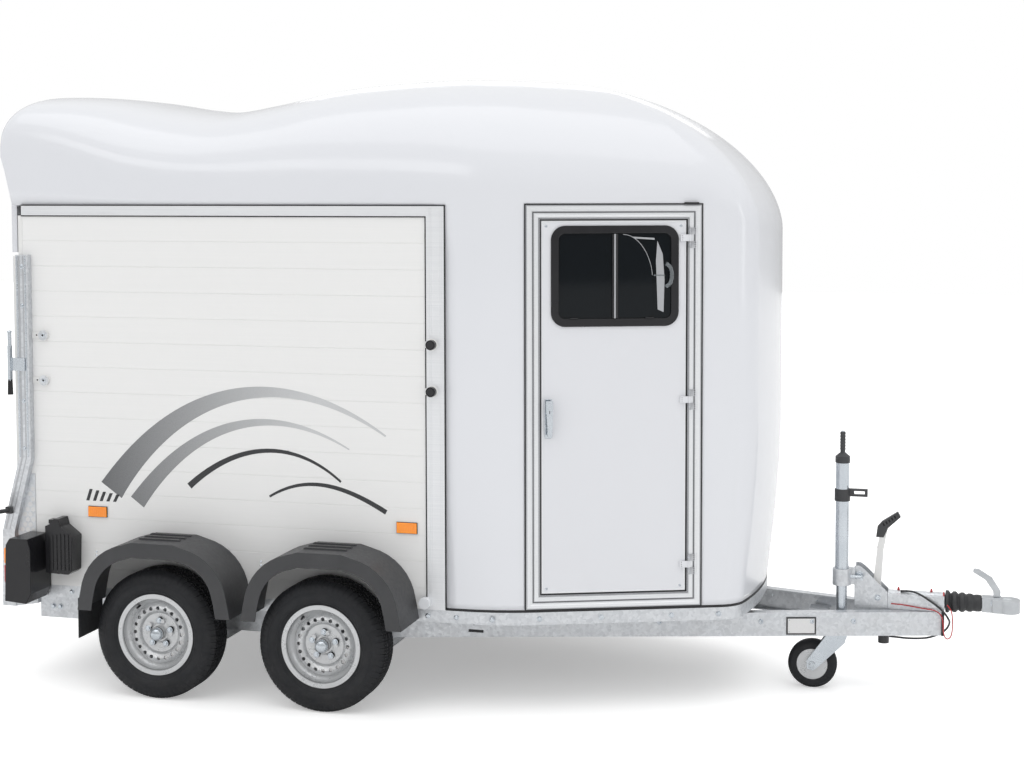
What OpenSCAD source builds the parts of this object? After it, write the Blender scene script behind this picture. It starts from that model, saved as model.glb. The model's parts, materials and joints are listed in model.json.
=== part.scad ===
// Two-stall horse trailer, standing parked on its jockey wheel.
// Millimetres. +X is forward, +Z is up, the right side is at -Y.
// Lengths along X are measured from the middle between the two axles, and placed() moves the
// whole trailer so that its origin is on the floor under the middle of its length.

/* [Body] */
// Width over the side panels
body_w = 1746; // [1600:2:1900]
// Thickness of a side panel
panel_t = 30; // [20:1:40]
// Rear end of the side panels, behind the middle of the axles
panel_rear = 1125; // [1000:5:1300]
// Front end of the side panels, ahead of the middle of the axles
panel_front = 828; // [780:2:880]
// Underside of the floor
floor_z = 443; // [430:1:460]
// Thickness of the floor
floor_t = 22; // [15:1:25]
// Top edge of the side panels
panel_top = 2154; // [2120:1:2190]
// Height of the rail over the side panels
rail_h = 46; // [30:1:60]
// Length of the upright rail ahead of the side panels
rail_w = 83; // [60:1:100]
// How far the rails stand proud of the panels
rail_proud = 4; // [2:0.5:8]
// Height of one plank of the side panels
plank_h = 115.6; // [100:0.2:140]
// Width of the groove between two planks
groove_w = 3; // [1:0.5:5]
// Depth of the groove between two planks
groove_d = 1.5; // [1:0.5:3]

/* [Moulded nose and roof] */
// Thickness of the moulding
shell_t = 25; // [15:1:30]
// Front face of the nose, ahead of the middle of the axles
nose_x = 2243; // [2200:1:2290]
// How far the nose tucks in at its lower edge
nose_tuck = 62; // [20:1:90]
// Height below which the nose tucks in
tuck_z = 1195; // [900:5:1400]
// Slant of the tapered sides in plan, in degrees
taper = 21.8; // [18:0.1:25]
// Radius where the side turns into the taper
side_r = 900; // [500:10:1000]
// Radius of the upright corners of the nose
corner_r = 140; // [100:5:200]
// How far the front face bows forward
face_bow = 38; // [20:1:60]
// How far the roof's seat on the nose lies over the door frames
seam_rise = 8; // [6:1:20]
// How far the roof's tail stands out behind the side panels
tail_out = 122; // [110:1:150]
// Radius of the upper rear edge of the roof
tail_r = 130; // [60:5:160]
// How far the lower rear corner of the roof slants forward
tail_slant = 56; // [20:1:80]

/* [Side doors] */
// Length of the door frame along the slanted wall
door_w = 768; // [700:2:800]
// Lower edge of the door frame
door_z = 456; // [450:1:470]
// Top edge of the door frame
door_top = 2204; // [2150:1:2205]
// Start of the door frame along the slanted wall, from the side plane's corner
door_start = 128; // [126:1:140]
// Face width of the door frame
jamb = 62; // [45:1:75]
// Gap round the door leaf
door_gap = 7; // [6.5:0.5:9]
// Thickness of the door leaf
leaf_t = 28; // [20:1:32]
// Lower corner of the window, from the rear of the door frame
window_u = 110; // [80:1:130]
// From the door frame's top down to the window's lower edge
window_drop = 524; // [500:1:600]
// Length of the window over its black frame
window_w = 556; // [500:2:570]
// Height of the window over its black frame
window_h = 434; // [380:2:450]
// Face width of the window's black frame
window_rim = 34; // [20:1:45]
// Corner radius of the window
window_r = 62; // [45:1:80]
// Thickness of a window pane
pane_t = 4; // [3:0.5:6]

/* [Rear] */
// Lower edge of the ramp
ramp_z = 402; // [400:1:415]
// Top edge of the ramp
ramp_top = 1965; // [1900:5:1980]
// Thickness of the ramp
ramp_t = 42; // [30:1:50]
// How far the ramp's edge lies inside the body's side
ramp_margin = 43; // [40:1:60]
// Height of the ramp's hinge axis
hinge_z = 392; // [385:1:396]
// Hinge axis of the ramp, behind the rear frame
hinge_out = 58; // [54:1:62]
// Outer diameter of the ramp's hinge barrels
hinge_d = 24; // [18:1:26]
// Gap between the ramp and the top flap
flap_gap = 18; // [10:1:30]
// Top edge of the top flap
flap_top = 2434; // [2400:2:2440]
// Thickness of the top flap
flap_t = 26; // [20:1:30]

/* [Running gear] */
// Distance between the two axles
wheelbase = 788; // [700:2:860]
// Outer diameter of a tyre
tyre_d = 580; // [560:1:600]
// Width of a tyre
tyre_w = 174; // [155:1:176]
// Gap between the body's side and a tyre
tyre_gap = 11; // [9:0.5:20]
// Diameter of the rim's flange
rim_d = 365; // [355:1:370]
// Width over the rim's flanges
rim_w = 140; // [120:1:146]
// Diameter of the hub's bore in the wheel disc
hub_d = 62; // [50:1:70]
// Number of round holes in a wheel disc
wheel_holes = 20; // [12:1:22]
// Height of the underside of the chassis rails
rail_z = 263; // [255:1:270]
// Height of a chassis rail
beam_h = 107; // [90:1:108]
// Width of a chassis rail's flange
beam_w = 50; // [40:1:60]
// Wall of a chassis rail
beam_t = 5; // [3:0.5:8]
// How far the parallel chassis rails lie inside the body's side
rail_inset = 103; // [93:1:133]
// Start of the drawbar's taper, ahead of the middle of the axles
draw_x = 394; // [300:2:500]
// Front end of the drawbar rails, ahead of the middle of the axles
draw_tip = 2990; // [2900:5:3050]
// Across flats of an axle tube
axle_af = 74; // [60:1:78]
// How far an axle tube lies ahead of its wheel centre
arm_len = 150; // [120:2:170]
// Diameter of a stub axle
stub_d = 34; // [28:1:40]
// Distance from the body to the outer lip of a mudguard
guard_w = 247; // [240:1:260]
// Thickness of a mudguard
guard_t = 5; // [3:0.5:8]
// Width of a mudguard's outer face
guard_lip = 68; // [40:1:75]
// Height of a mudguard's flat top
guard_top = 716; // [700:1:730]
// Height of a mudguard's lower ends
guard_foot = 400; // [390:1:420]
// Rear end of a mudguard, behind its wheel
guard_rear = 341; // [325:1:350]
// Front end of a mudguard, ahead of its wheel
guard_front = 396; // [360:1:400]

/* [Drawbar fittings] */
// Position of the jockey wheel's tube
jockey_x = 2541; // [2530:1:2550]
// Offset of the jockey wheel's tube from the centre line
jockey_y = 78; // [70:1:80]
// Diameter of the outer jockey tube
jockey_d = 60; // [48:1:60]
// Diameter of the inner jockey tube
stem_d = 48; // [40:1:50]
// Diameter of the jockey wheel
jwheel_d = 220; // [200:2:230]
// Width of the jockey wheel
jwheel_w = 60; // [50:1:70]
// How far the jockey wheel trails behind its tube
trail = 127; // [110:1:130]
// Upper end of the outer jockey tube
jockey_top = 1035; // [900:5:1100]
// Front tip of the coupling head, ahead of the middle of the axles
tip_x = 3321; // [3300:1:3340]
// Height of the coupling's centre line
coupling_z = 411; // [400:1:420]
// Diameter of the ball socket
socket_d = 50.4; // [50:0.2:52]

/* [Inside] */
// Height of the breast and breech bars
bar_z = 1397; // [1300:1:1450]
// Diameter of a bar's padding
bar_d = 70; // [50:1:90]
// Place of the breast bar, ahead of the middle of the axles
breast_x = 855; // [850:1:860]
// Place of the breech bar, behind the middle of the axles
breech_x = 1048; // [1000:1:1060]
// Thickness of the partition between the stalls
partition_t = 30; // [20:1:40]
// Lower edge of the partition
partition_z = 700; // [600:5:800]
// Top edge of the partition
partition_top = 1750; // [1600:5:1800]

/* [Hidden] */
$fn = 64;
half_w = body_w / 2;
wheel_z = tyre_d / 2;
floor_top = floor_z + floor_t;
side_front = panel_front + rail_w;
side_top = panel_top + rail_h;
beam_top = rail_z + beam_h;
post_t = 24;
post_x = panel_rear + post_t;
clear = 0.3;
track = body_w + 2 * tyre_gap + tyre_w;
rails_y = half_w - rail_inset;
ramp_w = body_w - 2 * ramp_margin;
hinge_x = post_x + hinge_out;
tail_x = panel_rear + tail_out;
seam_z = door_top + seam_rise;
window_z = door_top - window_drop;
housing_x0 = draw_tip - 246;
housing_x1 = draw_tip + 4;
ball_x = tip_x - 50;
mid_x = (tip_x - tail_x) / 2;
front_axle = wheelbase / 2;
rear_axle = -wheelbase / 2;
draw_slope = (rails_y - 40) / (draw_tip - draw_x);

// Plan of the moulding: the side plane's corner with the taper, and where the arc starts.
plan_corner = 1139;
door_x = plan_corner + door_start * cos(taper);
door_y = half_w - door_start * sin(taper);
seam_x = door_x + door_w * cos(taper) + 20;

// Crest of the roof along the trailer, as [x, z], from the tail to behind the nose.
crest = [
    [-1400, 2708], [-1120, 2722], [-900, 2712], [-600, 2668], [-300, 2645], [-40, 2685],
    [250, 2745], [600, 2774], [900, 2779], [1250, 2752], [1600, 2700]
];
// Shoulder of the roof along the trailer: [x, height where the wall ends, roundness].
shoulder = [
    [-1400, 2500, 3.4], [-1000, 2440, 3.2], [-600, 2330, 2.8], [-200, 2300, 2.6],
    [300, 2290, 2.5], [900, 2270, 2.4], [1400, 2240, 2.2], [1980, 2222, 1.9], [2110, 2160, 1.8],
    [2243, 2080, 1.75]
];

function lerp(a, b, t) = a + (b - a) * t;
function clamp(v, lo, hi) = max(lo, min(hi, v));
function find(list, x, i = 0) = (i >= len(list) - 2 || x < list[i + 1][0]) ? i : find(list, x, i + 1);
function slope(list, i, c) =
    let (a = max(i - 1, 0), b = min(i + 1, len(list) - 1))
    (list[b][c] - list[a][c]) / (list[b][0] - list[a][0]);
// Smooth curve through a table's rows: column c at x.
function curve(list, x, c) =
    let (i = find(list, x), h = list[i + 1][0] - list[i][0])
    let (t = clamp((x - list[i][0]) / h, 0, 1))
    (2 * pow(t, 3) - 3 * t * t + 1) * list[i][c] + (pow(t, 3) - 2 * t * t + t) * h * slope(list, i, c)
    + (3 * t * t - 2 * pow(t, 3)) * list[i + 1][c] + (pow(t, 3) - t * t) * h * slope(list, i + 1, c);

// Depth of the door frame, from the wall's outside to the back of its stop.
door_depth = leaf_t + 11;

// Half plan of the moulding from the side plane to the centre line, set in by inset, with the
// front face moved back by back.
function plan(inset, back) =
    let (
        y0 = half_w - inset,
        fx = nose_x - inset - back,
        r_in = side_r - inset,
        cr = corner_r - inset,
        px = plan_corner - inset * tan(taper / 2),
        ax = px - r_in * tan(taper / 2),
        cx = fx - face_bow - cr,
        cy = y0 - (cx + cr * sin(taper) - px) * tan(taper) - cr * cos(taper),
        face_a = 90 - atan(2 * face_bow / max(cy, 1))
    )
    concat(
        [for (i = [0 : 4]) let (a = taper * i / 4) [ax + r_in * sin(a), y0 - r_in * (1 - cos(a))]],
        [for (x = [1480, 1730, seam_x]) [x - inset * sin(taper), y0 - (x - inset * sin(taper) - px) * tan(taper)]],
        [for (i = [0 : 6]) let (a = lerp(taper, face_a, i / 6)) [cx + cr * sin(a), cy + cr * cos(a)]],
        [for (i = [1 : 3]) let (
            t = i / 4,
            sx = cx + cr * sin(face_a),
            sy = cy + cr * cos(face_a))
            [lerp(sx, fx, 1 - (1 - t) * (1 - t)), sy * (1 - t)]]
    );
function tuck(z) = nose_tuck * pow(clamp((tuck_z - z) / (tuck_z - 456), 0, 1), 1.6);

// Closes a half outline by mirroring it over the centre line, right side first.
function both(half) = concat([for (p = half) [p[0], -p[1]]],
    [for (i = [len(half) - 1 : -1 : 0]) half[i]]);

module placed() {
    translate([-mid_x, 0, 0]) children();
}
module sides() {
    children();
    mirror([0, 1, 0]) children();
}
// Puts its children in the slanted wall's own frame: X along the wall, outside at -Y.
module on_wall() {
    translate([door_x, -door_y, 0]) rotate([0, 0, taper]) children();
}
module block(low, high) {
    translate(low) cube(high - low);
}
module rounded(w, h, r) {
    hull() for (x = [r, w - r], y = [r, h - r]) translate([x, y]) circle(r);
}
module tube(d, wall, h) {
    difference() {
        cylinder(d = d, h = h);
        translate([0, 0, -1]) cylinder(d = d - 2 * wall, h = h + 2);
    }
}

// Closed skin between an outer and an inner grid of rings, each ring an open row of points.
function grid_faces(rows, cols, base, flip) = [
    for (i = [0 : rows - 2], j = [0 : cols - 2])
        let (a = base + i * cols + j, b = a + 1, c = a + cols, d = c + 1)
        each (flip ? [[a, c, d], [a, d, b]] : [[a, d, c], [a, b, d]])
];
function rim_faces(ids_out, ids_in, flip) = [
    for (k = [0 : len(ids_out) - 2])
        let (a = ids_out[k], b = ids_out[k + 1], c = ids_in[k], d = ids_in[k + 1])
        each (flip ? [[a, c, d], [a, d, b]] : [[a, d, c], [a, b, d]])
];
module skin(outer, inner) {
    rows = len(outer);
    cols = len(outer[0]);
    n = rows * cols;
    pts = concat([for (r = outer) each r], [for (r = inner) each r]);
    faces = concat(
        grid_faces(rows, cols, 0, false),
        grid_faces(rows, cols, n, true),
        rim_faces([for (j = [0 : cols - 1]) j], [for (j = [0 : cols - 1]) n + j], true),
        rim_faces([for (j = [0 : cols - 1]) (rows - 1) * cols + j],
            [for (j = [0 : cols - 1]) n + (rows - 1) * cols + j], false),
        rim_faces([for (i = [0 : rows - 1]) i * cols], [for (i = [0 : rows - 1]) n + i * cols], false),
        rim_faces([for (i = [0 : rows - 1]) i * cols + cols - 1],
            [for (i = [0 : rows - 1]) n + i * cols + cols - 1], true)
    );
    polyhedron(points = pts, faces = faces, convexity = 10);
}

// The seam between nose and roof drops ahead of the doors.
seam_drop = 147;
function seam(x) = seam_z - seam_drop * clamp((x - seam_x) / 210, 0, 1);
nose_levels = [seam_z, 1960, tuck_z, 980, 820, 680, 560, floor_z + 12];
seam_line = concat([seam_z], [for (p = plan(0, 0)) seam(p[0])]);
function nose_ring(z, inset) =
    let (half = concat([[side_front + clear, half_w - inset]], plan(inset, tuck(z))), n = len(half))
    concat([for (i = [0 : n - 1]) [half[i][0], -half[i][1], min(z, seam_line[i])]],
        [for (i = [n - 1 : -1 : 0]) [half[i][0], half[i][1], min(z, seam_line[i])]]);

module nose() {
    color("white") placed() difference() {
        skin([for (z = nose_levels) nose_ring(z, 0)], [for (z = nose_levels) nose_ring(z, shell_t)]);
        sides() on_wall() block([-clear, -60, door_z - clear], [door_w + clear, 60, door_top + clear]);
    }
}

// Roof stations: the half plan's points behind the arc, then the plan of the nose.
roof_xs = concat([-tail_x, -tail_x + 6, -tail_x + 24, -tail_x + 60, -tail_x + tail_r],
    [for (i = [1 : 12]) lerp(-tail_x + tail_r, side_front - 2, i / 12)]);
roof_steps = 12;
function tail_drop(x) = let (d = x + tail_x) d >= tail_r ? 0
    : tail_r - sqrt(tail_r * tail_r - (tail_r - d) * (tail_r - d));
// One section over the roof, from the right edge over the crest to the left edge.
function roof_half(p, low, inset) =
    let (
        sx = p[0] < 1000 ? p[0] : lerp(1000, 1250, (p[0] - 1000) / (nose_x - 1000)),
        drop = tail_drop(p[0]) * 0.8,
        top = curve(crest, sx, 1) - drop - inset,
        wall = curve(shoulder, p[0], 1) - drop * 0.6,
        n = curve(shoulder, p[0], 2),
        slant = p[0] < 60 - tail_x ? tail_slant * (1 - (p[0] + tail_x) / 60) : 0
    )
    concat(
        [for (t = [0, 0.5]) let (z = lerp(low, wall, t)) [p[0] + slant * clamp((2440 - z) / 240, 0, 1), p[1], z]],
        [for (i = [0 : roof_steps]) let (
            a = 90 * i / roof_steps,
            k = pow(max(cos(a), 0), 2 / n),
            h = pow(sin(a), 2 / n))
            [lerp(sx, p[0], k), p[1] * k, lerp(wall, top, h)]]
    );
function mirrored(row) = concat([for (q = row) [q[0], -q[1], q[2]]],
    [for (i = [len(row) - 2 : -1 : 0]) row[i]]);
function roof_plan(inset) = concat([for (x = roof_xs) [x, half_w - inset]],
    [[side_front, half_w - inset]], plan(inset, 0));

module roof() {
    color("white") placed() {
        low = concat([for (x = roof_xs) side_top + clear], [for (z = seam_line) z + clear]);
        outline = roof_plan(0);
        lining = roof_plan(shell_t);
        outer = [for (i = [0 : len(low) - 1]) mirrored(roof_half(outline[i], low[i], 0))];
        inner = [for (i = [0 : len(low) - 1]) mirrored(roof_half(lining[i], low[i], shell_t))];
        rows = len(outer);
        cols = len(outer[0]);
        n = rows * cols;
        mid = (cols - 1) / 2;
        last = (rows - 1) * cols;
        pts = concat([for (r = outer) each r], [for (r = inner) each r]);
        // The front strip closes the gap between the last section's two halves.
        strip = [for (j = [0 : mid - 1]) let (a = j, b = j + 1, c = cols - 1 - j, d = c - 1)
            each (b == d ? [[a, b, c]] : [[a, b, d], [a, d, c]])];
        faces = concat(
            grid_faces(rows, cols, 0, false),
            grid_faces(rows, cols, n, true),
            [for (f = strip) [last + f[0], last + f[1], last + f[2]]],
            [for (f = strip) [n + last + f[2], n + last + f[1], n + last + f[0]]],
            rim_faces([for (j = [0 : cols - 1]) j], [for (j = [0 : cols - 1]) n + j], true),
            rim_faces([for (i = [0 : rows - 1]) i * cols], [for (i = [0 : rows - 1]) n + i * cols], false),
            rim_faces([for (i = [rows - 1 : -1 : 0]) i * cols + cols - 1],
                [for (i = [rows - 1 : -1 : 0]) n + i * cols + cols - 1], false),
            [[last, n + last + cols - 1, n + last], [last, last + cols - 1, n + last + cols - 1]]
        );
        polyhedron(points = pts, faces = faces, convexity = 10);
    }
}

// Arched panel under the tail of the roof, above the top flap.
header_x = tail_x - 58;
flap_hinge_x = post_x + 30 + flap_t + 4;
module rear_header() {
    color("white") placed() {
        row = roof_half([-header_x, half_w - shell_t - clear], side_top, shell_t + 4);
        top = [for (i = [2 : len(row) - 1]) [row[i][1], row[i][2] - clear]];
        pts = concat([[half_w - shell_t - clear, flap_top + 12]], top,
            [for (i = [len(top) - 2 : -1 : 0]) [-top[i][0], top[i][1]]],
            [[-(half_w - shell_t - clear), flap_top + 12]]);
        translate([-header_x, 0, 0]) rotate([90, 0, 90]) linear_extrude(24) polygon(pts);
        sides() {
            translate([-flap_hinge_x, 60 - ramp_w / 2, flap_top - 4]) rotate([-90, 0, 0]) cylinder(d = 16, h = 39.5);
            block([-flap_hinge_x, 60 - ramp_w / 2, flap_top - 4], [-header_x + 1, 99.5 - ramp_w / 2, flap_top + 14]);
        }
    }
}

module side_panel() {
    n = floor((panel_top - floor_z) / plank_h);
    difference() {
        block([-panel_rear, -half_w, floor_z], [panel_front - clear, -half_w + panel_t, panel_top - clear]);
        for (i = [1 : n])
            block([-panel_rear - 1, -half_w - 1, panel_top - i * plank_h - groove_w / 2],
                [panel_front + 1, -half_w + groove_d, panel_top - i * plank_h + groove_w / 2]);
    }
}
module side_panel_right() {
    color("whitesmoke") placed() side_panel();
}
module side_panel_left() {
    color("whitesmoke") placed() mirror([0, 1, 0]) side_panel();
}
module side_rails() {
    color("silver") placed() sides() {
        block([-post_x + 20, -half_w - rail_proud, panel_top], [side_front, -half_w + panel_t, side_top]);
        block([panel_front, -half_w - rail_proud, floor_z], [side_front, -half_w + panel_t, panel_top]);
    }
}

module floor_panel() {
    half = concat([[-panel_rear, half_w - panel_t - clear], [side_front, half_w - panel_t - clear]],
        plan(door_depth + clear, nose_tuck));
    color("dimgray") placed() translate([0, 0, floor_z]) linear_extrude(floor_t) polygon(both(half));
}

// Galvanised skirt under the body's edge with the cross members that lie on the chassis rails.
skirt_t = 4;
cross_xs = [-1060, -660, -260, 140, 540, 940, 1340, 1740];
module floor_frame() {
    skirt = concat([[-panel_rear, half_w]], [[side_front, half_w]], plan(0, nose_tuck));
    inside = concat([[-panel_rear - 1, half_w - skirt_t]], [[side_front, half_w - skirt_t]],
        plan(skirt_t, nose_tuck));
    color("lightsteelblue") placed() {
        translate([0, 0, beam_top + 18]) difference() {
            linear_extrude(floor_z - beam_top - 18) polygon(both(skirt));
            translate([0, 0, -1]) linear_extrude(floor_z) polygon(both(inside));
        }
        for (x = cross_xs) {
            y = x < 1000 ? half_w - skirt_t / 2 : half_w - skirt_t / 2 - (x + 40 - plan_corner) * tan(taper);
            block([x, -y, beam_top + 18], [x + 40, y, floor_z - clear]);
            low = x < draw_x ? rails_y : rails_y - (x + 40 - draw_x) * draw_slope;
            for (s = [-1, 1]) block([x, s * (low - 26) - 22, beam_top], [x + 40, s * (low - 26) + 22, beam_top + 19]);
        }
    }
}

// One chassis rail, a channel open to the inside, straight under the body and then tapering.
module rail_shape(y_out, y_in) {
    polygon([[-panel_rear, y_out], [draw_x, y_out], [draw_tip, y_out - rails_y + 40],
        [draw_tip, y_in - rails_y + 40], [draw_x, y_in], [-panel_rear, y_in]]);
}
module chassis() {
    color("lightsteelblue") placed() {
        sides() translate([0, 0, rail_z]) difference() {
            linear_extrude(beam_h) mirror([0, 1, 0]) rail_shape(rails_y, rails_y - beam_w);
            translate([0, 0, beam_t]) linear_extrude(beam_h - 2 * beam_t) mirror([0, 1, 0])
                rail_shape(rails_y - beam_t, rails_y - beam_w - 10);
        }
        for (x = [-1115, -100, 700, 1500])
            block([x, -rail_inner(x + 40), rail_z + 25], [x + 40, rail_inner(x + 40), rail_z + 80]);
        block([2380, -rail_inner(2470), beam_top - 60], [2470, rail_inner(2470), beam_top - 52]);
    }
}
function rail_inner(x) = (x < draw_x ? rails_y : rails_y - (x - draw_x) * draw_slope) - beam_t + 1;

// Axle: torsion tube, its seats on the rails, the trailing arms and stub axles.
module axle(x) {
    tube_z = rail_z - 45;
    translate([x + arm_len, 0, tube_z]) rotate([90, 30, 0])
        cylinder(r = axle_af / 2 / cos(30), h = 2 * (rails_y + 30), center = true, $fn = 6);
    sides() {
        for (y = [rails_y - beam_w])
            block([x + arm_len - 60, -y - beam_w, tube_z], [x + arm_len + 60, -y, rail_z]);
        hull() {
            translate([x + arm_len, -rails_y - 30, tube_z]) rotate([90, 0, 0]) cylinder(d = 62, h = 26, $fn = 32);
            translate([x, -rails_y - 30, wheel_z]) rotate([90, 0, 0]) cylinder(d = 56, h = 26, $fn = 32);
        }
        translate([x, -rails_y - 55.8, wheel_z]) rotate([90, 0, 0]) cylinder(d = stub_d, h = track / 2 - rails_y - 50);
    }
}
module axle_front() {
    color("lightsteelblue") placed() axle(front_axle);
}
module axle_rear() {
    color("lightsteelblue") placed() axle(rear_axle);
}

module wheel_at(x, side) {
    placed() translate([x, side * track / 2, wheel_z]) rotate([-side * 90, 0, 0]) children();
}
// Tyre about Z, outside up: the outline is [radius, height].
module tyre() {
    r = tyre_d / 2;
    f = rim_d / 2;
    w = tyre_w / 2;
    // Half section from the bead over the side wall to the middle of the tread.
    half = [[f - 15.5, 8.4 - rim_w / 2], [f + 0.4, 4.4 - rim_w / 2], [f + 8, -2 - rim_w / 2], [f + 24, 4 - w],
        [f + 44, -w], [r - 40, 4 - w], [r - 14, 16 - w], [r - 3, 34 - w], [r, 60 - w]];
    color("#222222") rotate_extrude($fn = 96)
        polygon(concat(half, [for (i = [len(half) - 1 : -1 : 0]) [half[i][0], -half[i][1]]]));
}
// Steel wheel about Z, outside up, with its disc, ring of holes and hub.
module rim() {
    f = rim_d / 2;
    b = f - 17;
    w = rim_w / 2;
    color("silver") difference() {
        union() {
            rotate_extrude($fn = 96) polygon([
                [f, w], [f, w - 4], [b + 1, w - 8], [b - 2, w - 30], [b - 22, w - 48], [b - 22, -w + 40],
                [b - 2, -w + 24], [b + 1, -w + 8], [f, -w + 4], [f, -w], [b - 3, -w], [b - 8, -w + 24],
                [b - 27, -w + 42], [b - 27, w - 50], [b - 8, w - 28], [b - 3, w]]);
            rotate_extrude($fn = 96) polygon([
                [b - 24, w - 62], [b - 24, w - 54], [b - 36, w - 34], [b - 52, w - 26], [b - 68, w - 34],
                [b - 78, w - 48], [hub_d / 2 + 16, w - 48], [hub_d / 2 + 8, w - 42], [hub_d / 2, w - 42],
                [hub_d / 2, w - 54], [b - 76, w - 56], [b - 66, w - 42], [b - 52, w - 34], [b - 38, w - 42]]);
        }
        for (i = [0 : wheel_holes - 1])
            rotate([0, 0, i * 360 / wheel_holes]) translate([b - 52, 0, 0]) cylinder(d = 17, h = w, $fn = 24);
    }
    color("gray") {
        translate([0, 0, w - 72]) tube(hub_d - 2, 9, 52);
        translate([0, 0, w - 22]) cylinder(d = hub_d - 2, h = 6);
        translate([0, 0, w - 84]) difference() {
            cylinder(d = 150, h = 28);
            translate([0, 0, -1]) cylinder(d = stub_d + 2 * clear, h = 40);
        }
        for (i = [0 : 4]) rotate([0, 0, i * 72]) translate([56, 0, w - 52]) cylinder(d = 22, h = 18, $fn = 6);
    }
}

// Side view of a mudguard over its wheel, as [x, z] from the wheel's middle, set in by inset.
guard_r = 250;
function guard_line(inset) =
    let (top = guard_top - inset, r = guard_r - inset, xr = inset - guard_rear, xf = guard_front - inset)
    concat([[xf, guard_foot], [xf - 10, guard_foot + 60]],
        [for (i = [0 : 7]) let (a = 16 + 62 * i / 7) [xf - 18 - r + (r + 4) * cos(a), top - r * 1.04 + r * sin(a)]],
        [[xf - 18 - r, top]],
        [[xr + 18 + r, top]],
        [for (i = [0 : 7]) let (a = 102 + 62 * i / 7) [xr + 18 + r + (r + 4) * cos(a), top - r * 1.04 + r * sin(a)]],
        [[xr + 10, guard_foot + 60], [xr, guard_foot]]);
// The same outline closed below the guard's feet, to cut the wheel's room.
function guard_room(inset) = concat([[guard_front - inset, guard_foot - 1]], guard_line(inset),
    [[inset - guard_rear, guard_foot - 1]]);
module mudguard() {
    rotate([90, 0, 0]) difference() {
        linear_extrude(guard_w - 1) polygon(guard_line(0));
        translate([0, 0, -1]) linear_extrude(guard_w - guard_t) polygon(guard_room(guard_t));
        translate([0, 0, -1]) linear_extrude(guard_w + 4) polygon(guard_room(guard_lip));
    }
    for (y = [50, 105, 160])
        translate([-75, -y - 9, guard_top - 1]) cube([200, 18, 6]);
}
module mudguards_right() {
    color("#2b2b2d") placed() for (x = [front_axle, rear_axle])
        translate([x, -half_w - clear, 0]) mudguard();
}
module mudguards_left() {
    color("#2b2b2d") placed() mirror([0, 1, 0]) for (x = [front_axle, rear_axle])
        translate([x, -half_w - clear, 0]) mudguard();
}
module mudflaps() {
    color("#333333") placed() sides() {
        translate([rear_axle - guard_rear - 4 - clear, -half_w - guard_w + 14, 0])
            block([0, 0, 268], [4, guard_w - 30, guard_foot + 50]);
    }
}

// Rear posts: [x, z] outline of the galvanised channel that kinks rearward to the ramp's hinge.
post_out = 34;
module rear_posts() {
    p = panel_rear;
    color("lightsteelblue") placed() sides() {
        translate([0, -half_w - clear, 0]) rotate([90, 0, 0]) linear_extrude(post_out) polygon([
            [-p - 19, ramp_top + 8], [-p + 43, ramp_top + 8], [-p + 43, 1030], [-p - 48, 690], [-p - 48, ramp_z - 62],
            [-p - 117, ramp_z - 62],
            [-p - 111, 690], [-p - 19, 1033]]);
        translate([0, -half_w - clear, 0]) rotate([90, 0, 0]) linear_extrude(4) polygon([
            [-p - 49, 690], [-p + 25, 960], [-p + 45, 960], [-p + 45, ramp_z - 2], [-p - 49, ramp_z - 2]]);
        translate([0, -half_w - clear, 0]) rotate([90, 0, 0]) linear_extrude(30)
            polygon([[-p - 49, ramp_z - 11], [-p + 65, ramp_z - 11], [-p + 65, ramp_z - 42], [-p - 49, ramp_z - 62]]);
    }
}
module rear_frame() {
    color("white") placed() {
        sides() block([-post_x + 1, -half_w, floor_z - 43], [-panel_rear - clear, -half_w + 38, panel_top - clear]);
        block([-post_x + 1, -half_w + 37, floor_z - 43], [-panel_rear - clear, half_w - 37, floor_top]);
    }
}

knuckles = [[50 - ramp_w / 2, 150 - ramp_w / 2], [-250, -150], [150, 250], [ramp_w / 2 - 150, ramp_w / 2 - 50]];
module ramp_hinges() {
    color("silver") placed() for (k = knuckles) {
        translate([-hinge_x, k[0], hinge_z]) rotate([-90, 0, 0]) cylinder(d = hinge_d, h = k[1] - k[0]);
        block([-hinge_x, k[0], hinge_z - hinge_d / 2], [-post_x + 0.6, k[1], hinge_z - hinge_d / 2 + 8]);
        block([-post_x - 6, k[0], hinge_z - hinge_d / 2], [-post_x + 0.6, k[1], hinge_z + 40]);
    }
}
module ramp() {
    color("gainsboro") placed() {
        x1 = -hinge_x + 7;
        difference() {
            block([x1, -ramp_w / 2, ramp_z], [x1 + ramp_t, ramp_w / 2, ramp_top]);
            for (k = knuckles)
                block([x1 - 1, k[0] - 6, ramp_z - 1], [x1 + ramp_t + 1, k[1] + 6, ramp_z + 34]);
        }
        for (k = knuckles, s = [-1, 1]) {
            y = s < 0 ? k[0] - 60.5 : k[1] + 0.5;
            translate([-hinge_x, y, hinge_z]) rotate([-90, 0, 0]) cylinder(d = hinge_d, h = 60);
            block([-hinge_x, max(y, -ramp_w / 2), ramp_z - 6],
                [x1 + 6, min(y + 60, ramp_w / 2), ramp_z + 20]);
        }
    }
}
module ramp_rubber() {
    color("#3a3a3c") placed() {
        x1 = -hinge_x + 7 + ramp_t + clear;
        block([x1, -ramp_w / 2 + 50, ramp_z + 60], [x1 + 4, ramp_w / 2 - 50, ramp_top - 60]);
    }
}
module ramp_latches() {
    color("silver") placed() sides() {
        translate([-post_x - 32, -half_w - post_out - clear - 22, 1393]) block([0, 0, 0], [14, 22, 163]);
        block([-post_x - 32, -half_w - post_out - clear - 10, 1440], [-post_x + 49, -half_w - post_out - clear, 1500]);
    }
}
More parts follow.
